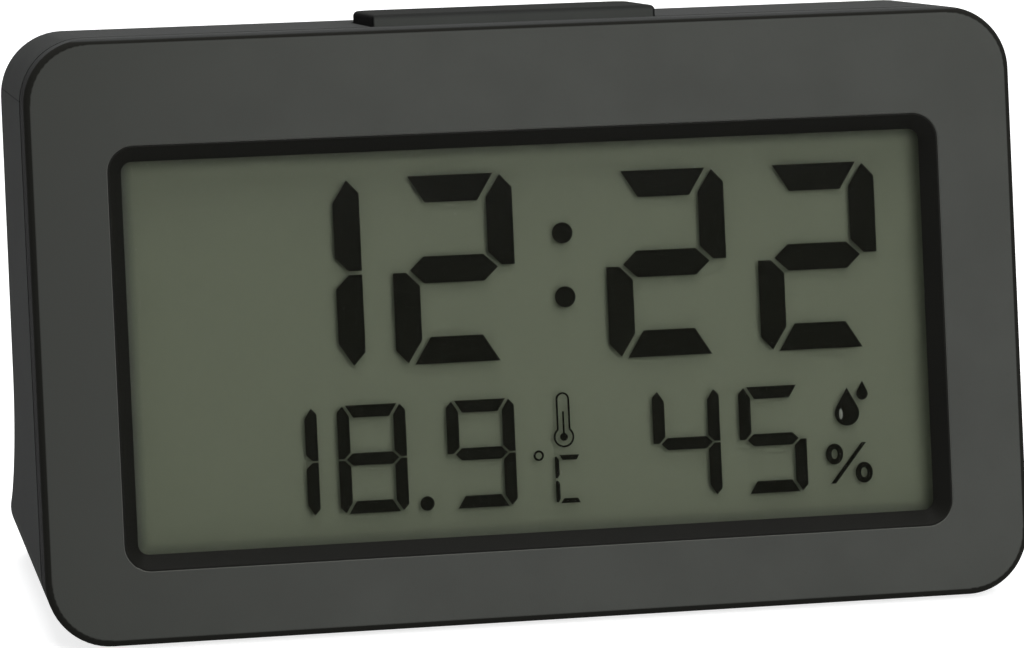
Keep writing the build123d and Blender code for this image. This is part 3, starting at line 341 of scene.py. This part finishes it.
foot_rubber = moulded("foot_rubber", (0.014, 0.014, 0.015), roughness=0.75, grain=0.25, grain_depth=0.02)
assign(bezel_plastic, "front_bezel")
assign(trim_plastic, "window_trim")
assign(case_plastic, "rear_case")
assign(bar_plastic, "snooze_bar")
assign(key_plastic, "mode_key", "up_key", "down_key", "alarm_key")
assign(door_plastic, "battery_door")
assign(switch_plastic, "snooze_switch", "key_switches")
assign(holder_plastic, "lcd_holder")
assign(foot_rubber, "rubber_feet")


# Clear sheets before and behind the display
def clear_sheet(name, colour, alpha, roughness, haze):
    """Clear sheet: it lets light through by its alpha, and carries a faint haze of fine grain."""
    material, tree, shader, place = new_material(name)
    fine = noise(tree, place, haze, detail=2)
    tint = noise(tree, place, 14, detail=2)
    base = mix(tree, share(tree, tint, *NOISE_RANGE), [c * 0.97 for c in colour], colour)
    paint(tree, shader, base, fine, roughness * 0.85, roughness * 1.15)
    shader.inputs["Alpha"].default_value = alpha
    shader.inputs["Specular IOR Level"].default_value = 0.5
    bump(tree, shader, fine, 0.002)
    return material


for name, colour, alpha, roughness, haze, nodes in (
    ("window_acrylic", (0.02, 0.021, 0.02), 0.006, 0.12, 0.8, ["display_window"]),
    ("front_polariser", (0.012, 0.013, 0.01), 0.004, 0.35, 0.08, ["lcd_front_polariser"]),
    ("display_glass", (0.01, 0.012, 0.01), 0.003, 0.05, 3.0, ["lcd_front_glass", "lcd_rear_glass"]),
    ("guide_acrylic", (0.8, 0.82, 0.8), 0.6, 0.3, 0.4, ["light_guide"]),
):
    assign(clear_sheet(name, colour, alpha, roughness, haze), *nodes)

# Reflector behind the glass: pearly olive film with a fine grain
DISPLAY_EDGE = (-1.2, 0.1)
rear_film, tree, shader, place = new_material("rear_polariser")
pearl = noise(tree, place, 0.12, detail=2)
drift = noise(tree, place, 25, detail=1)
base = mix(tree, share(tree, drift, *NOISE_RANGE), (0.0845, 0.0955, 0.0645), (0.0875, 0.0985, 0.067))
base = mix(tree, span(tree, pearl, 0.35, 0.65, 0, 0.5), base, (0.0798, 0.0903, 0.0607))
# Soft shade along the display's edges: left and right, then lower and upper
edge_shares = []
for way, half, low_edge, high_edge in (
    (ACROSS, DISPLAY_HALF_WIDTH, 0.75, 0.05),
    (FACE_UP, DISPLAY_HALF_HEIGHT, 0.5, 0.35),
):
    value = along(tree, place, DISPLAY_CENTRE, way)
    past_edge = maths(tree, "SUBTRACT", maths(tree, "ABSOLUTE", value), half)
    near = share(tree, past_edge, *DISPLAY_EDGE)
    edge_shares.append(maths(tree, "MULTIPLY", near, span(tree, value, -1, 1, low_edge, high_edge)))
base = mix(tree, maths(tree, "MAXIMUM", *edge_shares), base, (0.03, 0.034, 0.028))
paint(tree, shader, base, pearl, 0.5, 0.62)
shader.inputs["Specular IOR Level"].default_value = 0.08
bump(tree, shader, pearl, 0.004)
assign(rear_film, "lcd_rear_polariser")


# Plated metals
def metal(name, colour, roughness, streak=(1, 1, 1), size=0.4):
    """Plated metal: drawn or tumbled streaks, with duller patches."""
    material, tree, shader, place = new_material(name)
    streaks = noise(tree, place, size, detail=3, stretch=streak)
    patch = noise(tree, place, 3.0, detail=3)
    base = mix(tree, span(tree, patch, 0.45, 0.75, 0, 0.25), colour, [c * 0.55 for c in colour])
    paint(tree, shader, base, streaks, roughness * 0.7, roughness * 1.3)
    shader.inputs["Metallic"].default_value = 1.0
    bump(tree, shader, streaks, 0.006)
    return material


screw_steel = metal("screw_steel", (0.5, 0.5, 0.51), 0.32)
contact_plate = metal("contact_plate", (0.66, 0.63, 0.57), 0.24, streak=(1, 6, 1))
spring_wire = metal("spring_wire", (0.66, 0.64, 0.6), 0.22, size=0.2)
can_steel = metal("can_steel", (0.68, 0.68, 0.66), 0.2, streak=(1, 5, 5))
assign(screw_steel, "case_screws", "holder_screws", "board_screws", "key_board_screws")
assign(contact_plate, "positive_contact", "negative_contact", "bridge_contact")
assign(spring_wire, "negative_spring", "bridge_spring")
assign(can_steel, "quartz_crystal")


# Marks that follow a place on the object: squares, rounds and stripes. Their edges are a little soft,
# by millimetres or by a part of a stripe's pitch.
SQUARE_SOFTNESS = 0.03
ROUND_SOFTNESS = 0.04
STRIPE_SOFTNESS = 0.04


def under(tree, value, limit, softness):
    """1 where a value is under a limit, 0 where it is over it."""
    return span(tree, value, limit - softness, limit + softness, 1, 0)


def square_mark(tree, u, v, centre, half_width, half_height):
    marks = []
    for value, middle, half in ((u, centre[0], half_width), (v, centre[1], half_height)):
        apart = maths(tree, "ABSOLUTE", maths(tree, "SUBTRACT", value, middle))
        marks.append(under(tree, apart, half, SQUARE_SOFTNESS))
    return maths(tree, "MULTIPLY", *marks)


def round_mark(tree, u, v, centre, radius):
    squares = [
        maths(tree, "POWER", maths(tree, "ABSOLUTE", maths(tree, "SUBTRACT", value, middle)), 2.0)
        for value, middle in ((u, centre[0]), (v, centre[1]))
    ]
    apart = maths(tree, "SQRT", maths(tree, "ADD", *squares))
    return under(tree, apart, radius, ROUND_SOFTNESS)


def stripes(tree, value, pitch, part):
    """1 on the first part of every pitch, 0 on the rest; the shift keeps the value above 0."""
    shifted = maths(tree, "ADD", value, 500 * pitch)
    phase = maths(tree, "FRACT", maths(tree, "DIVIDE", shifted, pitch))
    return under(tree, phase, part, STRIPE_SOFTNESS)


def surface(tree, shader, place, base, roughness, gloss, grain, depth=None):
    """Sets a colour, and a roughness that follows a grain, with its bump where it has a depth."""
    fine = noise(tree, place, grain, detail=2)
    paint(tree, shader, base, fine, roughness * 0.88, roughness * 1.12)
    shader.inputs["Specular IOR Level"].default_value = gloss
    if depth is not None:
        bump(tree, shader, fine, depth)


# Zebra strip: dark conducting layers in pale silicone
material, tree, shader, place = new_material("strip_rubber")
layers = stripes(tree, along(tree, place, Vector(), ACROSS), pitch=0.2, part=0.5)
base = mix(tree, layers, (0.55, 0.5, 0.46), (0.02, 0.02, 0.022))
surface(tree, shader, place, base, roughness=0.6, gloss=0.3, grain=0.3, depth=0.006)
assign(material, "contact_strip")

# Lamps: yellow phosphor in a white housing
LAMP_ROWS = (9.0, -13.0)
LAMP_DEPTH = 7.0
LENS_HALF_HEIGHT = 1.0
LENS_HALF_DEPTH = 1.1
material, tree, shader, place = new_material("lamp_resin")
v = along(tree, place, FACE.origin, FACE_UP)
depth = along(tree, place, FACE.origin, -FACE_OUT)
lenses = [
    square_mark(tree, v, depth, (row, LAMP_DEPTH), LENS_HALF_HEIGHT, LENS_HALF_DEPTH) for row in LAMP_ROWS
]
base = mix(tree, maths(tree, "ADD", *lenses), (0.78, 0.78, 0.74), (0.72, 0.6, 0.16))
surface(tree, shader, place, base, roughness=0.35, gloss=0.4, grain=0.4, depth=0.004)
assign(material, "backlight_leds")

# Boards: green mask over copper tracks, with tinned pads
PAD_RADIUS = 0.7
MAIN_PADS = ((-44, 18), (42, 8), (-44, 6), (0, 24))
KEY_PADS = [(x, KEY_ROW) for x in KEY_PLACES.values()]
TRACK_LAYOUT = {
    "Scale": 1.0, "Mortar Size": 0.16, "Mortar Smooth": 0.1, "Brick Width": 5.4, "Row Height": 1.3,
}
for name, plot, node, pads in (
    ("board_laminate", FACE, "main_board", MAIN_PADS),
    ("key_laminate", BACK, "key_board", KEY_PADS),
):
    material, tree, shader, place = new_material(name)
    u = along(tree, place, plot.origin, plot.across)
    v = along(tree, place, plot.origin, plot.up)
    flat = tree.nodes.new("ShaderNodeCombineXYZ")
    tree.links.new(u, flat.inputs[0])
    tree.links.new(v, flat.inputs[1])
    bricks = tree.nodes.new("ShaderNodeTexBrick")
    tree.links.new(flat.outputs[0], bricks.inputs["Vector"])
    for socket, number in TRACK_LAYOUT.items():
        bricks.inputs[socket].default_value = number
    tracks = bricks.outputs["Fac"]
    base = mix(tree, tracks, (0.016, 0.085, 0.036), (0.036, 0.15, 0.062))
    tinned = round_mark(tree, u, v, pads[0], PAD_RADIUS)
    for pad in pads[1:]:
        tinned = maths(tree, "MAXIMUM", tinned, round_mark(tree, u, v, pad, PAD_RADIUS))
    base = mix(tree, tinned, base, (0.6, 0.6, 0.58))
    surface(tree, shader, place, base, roughness=0.32, gloss=0.45, grain=0.5)
    tree.links.new(tinned, shader.inputs["Metallic"])
    bump(tree, shader, tracks, 0.03)
    assign(material, node)

# Chip under its drop of black resin
material, tree, shader, place = new_material("chip_resin")
swell = noise(tree, place, 3.5, detail=2)
base = mix(tree, share(tree, swell, 0.4, 0.6), (0.008, 0.008, 0.009), (0.014, 0.014, 0.015))
surface(tree, shader, place, base, roughness=0.22, gloss=0.5, grain=0.8)
bump(tree, shader, swell, 0.12)
assign(material, "clock_chip")

# Climate sensor: white shell with a dark port
SENSOR_PLACE = (42, 8)
SENSOR_PORT = 1.12
material, tree, shader, place = new_material("sensor_shell")
u = along(tree, place, FACE.origin, ACROSS)
v = along(tree, place, FACE.origin, FACE_UP)
port = round_mark(tree, u, v, SENSOR_PLACE, SENSOR_PORT)
base = mix(tree, port, (0.72, 0.72, 0.69), (0.02, 0.02, 0.02))
surface(tree, shader, place, base, roughness=0.4, gloss=0.4, grain=0.3, depth=0.004)
assign(material, "climate_sensor")

# Flat cable: tinned leads under clear film
CABLE_EDGE = Vector((20.0, 0, 0))
material, tree, shader, place = new_material("cable_film")
leads = stripes(tree, along(tree, place, CABLE_EDGE, ACROSS), pitch=1.0, part=0.55)
base = mix(tree, leads, (0.72, 0.71, 0.66), (0.42, 0.42, 0.41))
surface(tree, shader, place, base, roughness=0.35, gloss=0.45, grain=0.6, depth=0.004)
assign(material, "key_cable")

# Cells: printed jacket with a pale band and a plus sign at the nub, a minus sign at the base.
# Places are along the cell from the part's middle, towards the nub.
JACKET = (0.022, 0.07, 0.05)
JACKET_WORN = (0.03, 0.088, 0.062)
PALE_PRINT = (0.42, 0.42, 0.39)
BAND_START = 13.0
LINE_PLACE = 12.2
PLUS_PLACE = 18.0
MINUS_PLACE = -14.5
JACKET_ENDS = (-19.6, 22.95)
LINE_HALF_WIDTH = 0.25
ALL_ROUND = 40
SIGN_REACH = 1.5
SIGN_STROKE = 0.32
UPPER_ROW = 18.55
LOWER_ROW = 7.85
for node, turn, row in (("upper_cell", -1, UPPER_ROW), ("lower_cell", 1, LOWER_ROW)):
    material, tree, shader, place = new_material(node + "_jacket")
    run = along(tree, place, Vector(), ACROSS * turn)
    v = along(tree, place, BACK.origin, BACK_UP)
    scuff = noise(tree, place, 1.6, detail=4)
    jacket = mix(tree, share(tree, scuff, *NOISE_RANGE), JACKET, JACKET_WORN)
    base = mix(tree, share(tree, run, BAND_START - 0.1, BAND_START), jacket, PALE_PRINT)
    line = square_mark(tree, run, v, (LINE_PLACE, row), LINE_HALF_WIDTH, ALL_ROUND)
    minus = square_mark(tree, run, v, (MINUS_PLACE, row), SIGN_REACH, SIGN_STROKE)
    bars = [
        square_mark(tree, run, v, (PLUS_PLACE, row), *reach)
        for reach in ((SIGN_REACH, SIGN_STROKE), (SIGN_STROKE, SIGN_REACH))
    ]
    base = mix(tree, maths(tree, "MAXIMUM", line, minus), base, PALE_PRINT)
    base = mix(tree, maths(tree, "MAXIMUM", *bars), base, JACKET)
    at_nub = share(tree, run, JACKET_ENDS[1], JACKET_ENDS[1] + 0.1)
    at_base = span(tree, run, JACKET_ENDS[0], JACKET_ENDS[0] + 0.1, 1, 0)
    steel = maths(tree, "MAXIMUM", at_nub, at_base)
    base = mix(tree, steel, base, (0.62, 0.61, 0.6))
    surface(tree, shader, place, base, roughness=0.3, gloss=0.45, grain=0.5, depth=0.003)
    tree.links.new(steel, shader.inputs["Metallic"])
    assign(material, node)

# Buzzer: ceramic disc on brass
BUZZER_PLACE = (42, 12)
CERAMIC_RADIUS = 7.02
CERAMIC_DEPTHS = (3.72, 3.76)
material, tree, shader, place = new_material("buzzer_brass")
u = along(tree, place, BACK.origin, -ACROSS)
v = along(tree, place, BACK.origin, BACK_UP)
depth = along(tree, place, BACK.origin, -BACK_OUT)
disc = round_mark(tree, u, v, BUZZER_PLACE, CERAMIC_RADIUS)
ceramic = maths(tree, "MULTIPLY", disc, share(tree, depth, *CERAMIC_DEPTHS))
tarnish = noise(tree, place, 2.5, detail=4)
brass = mix(tree, share(tree, tarnish, 0.35, 0.7), (0.62, 0.45, 0.16), (0.42, 0.28, 0.09))
base = mix(tree, ceramic, brass, (0.66, 0.66, 0.63))
surface(tree, shader, place, base, roughness=0.3, gloss=0.5, grain=0.3, depth=0.004)
tree.links.new(maths(tree, "SUBTRACT", 1.0, ceramic), shader.inputs["Metallic"])
assign(material, "buzzer_disc")


# Floor and world: both are white to the camera, in gloss and through glass
FLOOR_GREY = 0.6
FLOOR_GLOW = 0.78
AMBIENT_COLOUR = (0.93, 0.96, 1)
AMBIENT = 0.27
BACKDROP = 1.0


def seen_rays(tree):
    """1 for the rays that look at the background, 0 for those that only carry its light."""
    rays = tree.nodes.new("ShaderNodeLightPath").outputs
    seen = maths(tree, "MAXIMUM", rays["Is Camera Ray"], rays["Is Glossy Ray"])
    return maths(tree, "MAXIMUM", seen, rays["Is Transmission Ray"])


def background(tree, colour, strength):
    node = tree.nodes.new("ShaderNodeBackground")
    node.inputs["Color"].default_value = (*colour, 1)
    node.inputs["Strength"].default_value = strength
    return node.outputs[0]


floor_mesh = bpy.data.meshes.new("floor")
floor_builder = bmesh.new()
bmesh.ops.create_grid(floor_builder, x_segments=2, y_segments=2, size=4)
floor_builder.to_mesh(floor_mesh)
floor_builder.free()
floor = bpy.data.objects.new("floor", floor_mesh)
bpy.context.scene.collection.objects.link(floor)
floor_material = bpy.data.materials.new("floor")
floor_material.use_nodes = True
tree = floor_material.node_tree
shader = tree.nodes["Principled BSDF"]
shader.inputs["Base Color"].default_value = (FLOOR_GREY, FLOOR_GREY, FLOOR_GREY, 1)
shader.inputs["Roughness"].default_value = 0.9
shader.inputs["Specular IOR Level"].default_value = 0.1
shader.inputs["Emission Color"].default_value = (1, 1, 1, 1)
tree.links.new(maths(tree, "MULTIPLY", seen_rays(tree), FLOOR_GLOW), shader.inputs["Emission Strength"])
floor_mesh.materials.append(floor_material)

world = bpy.data.worlds.new("studio")
bpy.context.scene.world = world
world.use_nodes = True
tree = world.node_tree
tree.nodes.clear()
output = tree.nodes.new("ShaderNodeOutputWorld")
choice = tree.nodes.new("ShaderNodeMixShader")
tree.links.new(seen_rays(tree), choice.inputs[0])
tree.links.new(background(tree, AMBIENT_COLOUR, AMBIENT), choice.inputs[1])
tree.links.new(background(tree, (1, 1, 1), BACKDROP), choice.inputs[2])
tree.links.new(choice.outputs[0], output.inputs["Surface"])


# Lamps, in metres and watts: square soft boxes above, before the right end and far to the left
def area_light(name, place, target, size, power):
    data = bpy.data.lights.new(name, "AREA")
    data.shape = "RECTANGLE"
    data.size = size
    data.size_y = size
    data.energy = power
    lamp = bpy.data.objects.new(name, data)
    bpy.context.scene.collection.objects.link(lamp)
    lamp.location = place
    lamp.rotation_mode = "QUATERNION"
    lamp.rotation_quaternion = (Vector(target) - Vector(place)).to_track_quat("-Z", "Y")


area_light("top_light", place=(0.1, 0, 0.8), target=(0, 0, 0.04), size=0.8, power=8.0)
area_light("key_light", place=(0.13, -0.43, 0.27), target=(0.02, 0, 0.04), size=0.26, power=1.37)
area_light("left_light", place=(-0.8, -0.4, 0.35), target=(0, 0, 0.04), size=0.6, power=0.1)

bpy.context.scene.view_settings.view_transform = "Standard"
# The sheets of the display lie one behind another, so a ray passes many clear faces
bpy.context.scene.cycles.transparent_max_bounces = 48


# Shapes: closed thin forms on a plot
def prism(builder, outline, plot, thickness):
    """Closed thin plate from an outline of (across, up) pairs, rising from the plot."""
    low = [builder.verts.new(plot.at(x, y)) for x, y in outline]
    high = [builder.verts.new(plot.at(x, y, thickness)) for x, y in outline]
    builder.faces.new(high)
    builder.faces.new(low[::-1])
    count = len(outline)
    for i in range(count):
        j = (i + 1) % count
        builder.faces.new((low[i], low[j], high[j], high[i]))


def oval(centre, radius, sides=32):
    """Points round a circle; a pair in place of a radius makes it oval."""
    wide, high = radius if isinstance(radius, tuple) else (radius, radius)
    turns = [2 * math.pi * i / sides for i in range(sides)]
    return [(centre[0] + wide * math.cos(t), centre[1] + high * math.sin(t)) for t in turns]


def ring(builder, plot, centre, outer, inner, thickness, sides=40):
    """Closed flat ring, round or oval."""
    rims = [
        [builder.verts.new(plot.at(x, y, rise)) for x, y in oval(centre, radius, sides)]
        for radius, rise in ((outer, 0), (outer, thickness), (inner, thickness), (inner, 0))
    ]
    for a, b in ((0, 1), (1, 2), (2, 3), (3, 0)):
        for i in range(sides):
            j = (i + 1) % sides
            builder.faces.new((rims[a][i], rims[a][j], rims[b][j], rims[b][i]))


def arc(centre, radius, start, end, steps=24):
    """Points along an arc, angles in degrees."""
    turns = [math.radians(start + (end - start) * i / steps) for i in range(steps + 1)]
    return [(centre[0] + radius * math.cos(t), centre[1] + radius * math.sin(t)) for t in turns]


def band(builder, points, width, plot, thickness, closed=True):
    """Band of even width along a line of points."""
    count = len(points)
    sides = ([], [])
    for i, point in enumerate(points):
        before = points[i - 1] if closed or i else point
        after = points[(i + 1) % count] if closed or i < count - 1 else point
        way = Vector((after[0] - before[0], after[1] - before[1])).normalized()
        for side, offset in zip(sides, (width / 2, -width / 2)):
            side.append((point[0] - way.y * offset, point[1] + way.x * offset))
    corners = [
        [builder.verts.new(plot.at(*point, rise)) for point in side]
        for side in sides for rise in (0, thickness)
    ]
    last = count if closed else count - 1
    for a, b in ((0, 1), (1, 3), (3, 2), (2, 0)):
        for i in range(last):
            j = (i + 1) % count
            builder.faces.new((corners[a][i], corners[a][j], corners[b][j], corners[b][i]))
    if not closed:
        for i in (0, count - 1):
            builder.faces.new((corners[0][i], corners[1][i], corners[3][i], corners[2][i]))


def add_piece(name, builder, material, body):
    """Turns the built mesh into a piece that rides on a body."""
    bmesh.ops.recalc_face_normals(builder, faces=builder.faces)
    mesh = bpy.data.meshes.new(name)
    builder.to_mesh(mesh)
    builder.free()
    mesh.materials.append(material)
    piece = bpy.data.objects.new(name, mesh)
    bpy.context.scene.collection.objects.link(piece)
    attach(piece, body)


def rectangle(x, y, half_width, half_height):
    """Corners of an upright rectangle, from its middle."""
    corners = ((-1, -1), (1, -1), (1, 1), (-1, 1))
    return [(x + half_width * side, y + half_height * end) for side, end in corners]


# Reflector film, just before the rear polariser
builder = bmesh.new()
film_outline = rectangle(0, WINDOW_RISE, FILM_HALF_WIDTH, FILM_HALF_HEIGHT)
prism(builder, film_outline, FACE.moved(0, 0, -FILM_DEPTH), LAYER_THICKNESS)
add_piece("reflector_film", builder, rear_film, "clock")

# Lit segments and signs: a dark layer where the two glasses meet
LCD = FACE.moved(0, 0, -SEGMENT_DEPTH)


def dark_layer(name, first, second):
    """Matt layer whose colour drifts between two on a fine grain."""
    material, tree, shader, place = new_material(name)
    fine = noise(tree, place, 0.15, detail=2)
    base = mix(tree, share(tree, fine, *NOISE_RANGE), first, second)
    tree.links.new(base, shader.inputs["Base Color"])
    shader.inputs["Roughness"].default_value = 0.6
    bump(tree, shader, fine, 0.002)
    return material, shader


lit_segment, shader = dark_layer("lit_segment", (0.0048, 0.005, 0.0034), (0.006, 0.0062, 0.0044))
shader.inputs["Specular IOR Level"].default_value = 0.004

# Lit segments of each digit, by the usual letters
LIT = {"1": "bc", "2": "abged", "4": "fgbc", "5": "afgcd", "8": "abcdefg", "9": "abcdfg"}


def digit_outlines(glyph, left, bottom, width, height, stroke):
    """Outlines of the lit segments of a digit: mitred bars with narrow gaps.

    The mitres are in parts of the stroke, as the photographed ones are.
    """
    w, h, s = width, height, stroke
    mid = h / 2
    top_bar = [(0.7 * s, h), (w - 0.7 * s, h), (w - 1.33 * s, h - s), (1.33 * s, h - s)]
    middle_bar = [
        (0.65 * s, mid), (1.18 * s, mid + s / 2), (w - 1.18 * s, mid + s / 2),
        (w - 0.65 * s, mid), (w - 1.18 * s, mid - s / 2), (1.18 * s, mid - s / 2),
    ]
    upper_right = [
        (w - 0.45 * s, h - 0.06 * s), (w, h - 0.55 * s), (w, mid + 0.07 * s), (w - 0.5 * s, mid + 0.07 * s),
        (w - s, mid + 0.58 * s), (w - s, h - 0.9 * s),
    ]
    shapes = {
        "a": top_bar,
        "b": upper_right,
        "c": [(x, h - y) for x, y in upper_right],
        "d": [(x, h - y) for x, y in top_bar],
        "e": [(w - x, h - y) for x, y in upper_right],
        "f": [(w - x, y) for x, y in upper_right],
        "g": middle_bar,
    }
    return [[(left + x, bottom + y) for x, y in shapes[part]] for part in LIT[glyph]]


def digit_row(name, digit_size, digits, dots, dot_radius):
    """One piece with a row of digits and its dots.

    digit_size is a digit's width, height and stroke; digits are glyphs with their left and bottom.
    """
    builder = bmesh.new()
    for glyph, left, bottom in digits:
        for outline in digit_outlines(glyph, left, bottom, *digit_size):
            prism(builder, outline, LCD, LAYER_THICKNESS)
    for centre in dots:
        prism(builder, oval(centre, dot_radius), LCD, LAYER_THICKNESS)
    add_piece(name, builder, lit_segment, "clock")


digit_row(
    "time_digits", (15.52, 23.4, 3.35),
    [("1", -36.48, -4.5), ("2", -17.1, -4.54), ("2", 10.07, -5.05), ("2", 29.66, -5.13)],
    dots=[(4.63, 10.97), (4.66, 2.97)], dot_radius=1.32,
)
digit_row(
    "climate_digits", (8.65, 13.45, 1.55),
    [
        ("1", -36.15, -22.66), ("8", -24.97, -22.62), ("9", -11.18, -22.72),
        ("4", 15.17, -22.85), ("5", 26.33, -22.95),
    ],
    dots=[(-14.01, -21.85)], dot_radius=0.9,
)


# Signs of the two climate readings
def degree_celsius(builder):
    """The degree ring, and a C of four segments."""
    ring(builder, LCD, (0.38, -16.68), 0.67, 0.4, LAYER_THICKNESS)
    for outline in (
        [(2.98, -16.72), (5.55, -16.78), (5.2, -17.4), (3.4, -17.37)],
        [(2.4, -16.98), (2.62, -16.9), (2.95, -17.35), (2.95, -19.2), (2.7, -19.6), (2.4, -19.6)],
        [(2.4, -19.95), (2.7, -19.95), (2.95, -20.3), (2.95, -22.2), (2.66, -22.66), (2.4, -22.6)],
        [(3.4, -22.17), (5.15, -22.17), (5.5, -22.78), (2.98, -22.76)],
    ):
        prism(builder, outline, LCD, LAYER_THICKNESS)


def thermometer(builder):
    """Outline of the tube and its bulb, and the column inside."""
    middle = 3.71
    tube_end = (middle, -9.78)
    bulb = (middle, -14.5)
    outline = arc(tube_end, 0.75, 0, 180, 16) + arc(bulb, 1.2, 129, 411, 32)
    band(builder, outline, 0.25, LCD, LAYER_THICKNESS)
    prism(builder, oval(bulb, 0.5), LCD, LAYER_THICKNESS)
    prism(builder, rectangle(middle, -12.75, 0.12, 1.45), LCD, LAYER_THICKNESS)


def drop_outline(tip, centre, radius, steps=28):
    """Outline of a drop: a round end drawn up to a point."""
    reach = tip[1] - centre[1]
    start = math.degrees(math.asin(radius / reach))
    return [tip] + arc(centre, radius, 180 - start, 360 + start, steps)


def drops(builder):
    """The large drop and the small one."""
    large = drop_outline((40.5, -10.2), (40.42, -13.42), 1.6)
    small = drop_outline((42.54, -9.42), (42.48, -11.08), 0.76)
    prism(builder, large, LCD, LAYER_THICKNESS)
    prism(builder, small, LCD, LAYER_THICKNESS)


def per_cent(builder):
    """Two oval rings and the stroke between them."""
    for centre in ((38.56, -18.52), (42.34, -21.02)):
        ring(builder, LCD, centre, (1.13, 1.32), (0.4, 0.63), LAYER_THICKNESS)
    prism(builder, [(42.1, -17.2), (42.75, -17.2), (38.6, -22.25), (37.95, -22.25)], LCD, LAYER_THICKNESS)


builder = bmesh.new()
degree_celsius(builder)
thermometer(builder)
drops(builder)
per_cent(builder)
add_piece("climate_signs", builder, lit_segment, "clock")

# Glint on the large drop
glint_layer = dark_layer("drop_glint", (0.06, 0.066, 0.05), (0.07, 0.077, 0.058))[0]
builder = bmesh.new()
prism(builder, oval((39.6, -13.5), (0.22, 0.68), 24), LCD.moved(0, 0, LAYER_THICKNESS), LAYER_THICKNESS)
add_piece("drop_glint", builder, glint_layer, "clock")

# Raised signs on the keys: a clock, two arrows and a bell
SIGN_THICKNESS = 0.1
BELL = (
    [(-1.35, -0.95), (-1.35, -0.7), (-1.0, -0.3)]
    + arc((0, 0.35), 0.88, 172, 8, 14)
    + [(1.0, -0.3), (1.35, -0.7), (1.35, -0.95)]
)
BELL_CLAPPER = arc((0, -1.08), 0.36, 180, 360, 10)
CLOCK_HANDS = [(0, 0.95), (0, 0), (0.7, -0.4)]
sign_paint, tree, shader, place = new_material("sign_paint")
worn = noise(tree, place, 0.3, detail=3)
base = mix(tree, share(tree, worn, *NOISE_RANGE), (0.4, 0.41, 0.39), (0.5, 0.51, 0.48))
surface(tree, shader, place, base, roughness=0.6, gloss=0.1, grain=0.2, depth=0.003)
for body, x in KEY_PLACES.items():
    key_top = BACK.moved(x, KEY_ROW, KEY_RISE)
    builder = bmesh.new()
    if body == "mode":
        ring(builder, key_top, (0, 0), 1.5, 1.18, SIGN_THICKNESS)
        band(builder, CLOCK_HANDS, 0.28, key_top, SIGN_THICKNESS, closed=False)
    elif body == "alarm":
        prism(builder, BELL, key_top, SIGN_THICKNESS)
        prism(builder, BELL_CLAPPER, key_top, SIGN_THICKNESS)
    else:
        way = 1 if body == "up" else -1
        arrow_head = [(-1.35, -0.75 * way), (1.35, -0.75 * way), (0, 1.2 * way)]
        prism(builder, arrow_head, key_top, SIGN_THICKNESS)
    add_piece(body + "_sign", builder, sign_paint, body)

# Arrow on the battery door, rooted a little under its surface
ARROW_ROOT = 0.02
ARROW_THICKNESS = 0.17
arrow = [(-0.45, 17.6), (0.45, 17.6), (0.45, 14.6), (1.5, 14.6), (0, 12.2), (-1.5, 14.6), (-0.45, 14.6)]
builder = bmesh.new()
band(builder, arrow, 0.3, BACK.moved(0, 0, -ARROW_ROOT), ARROW_THICKNESS)
add_piece("door_arrow", builder, door_plastic, "door")
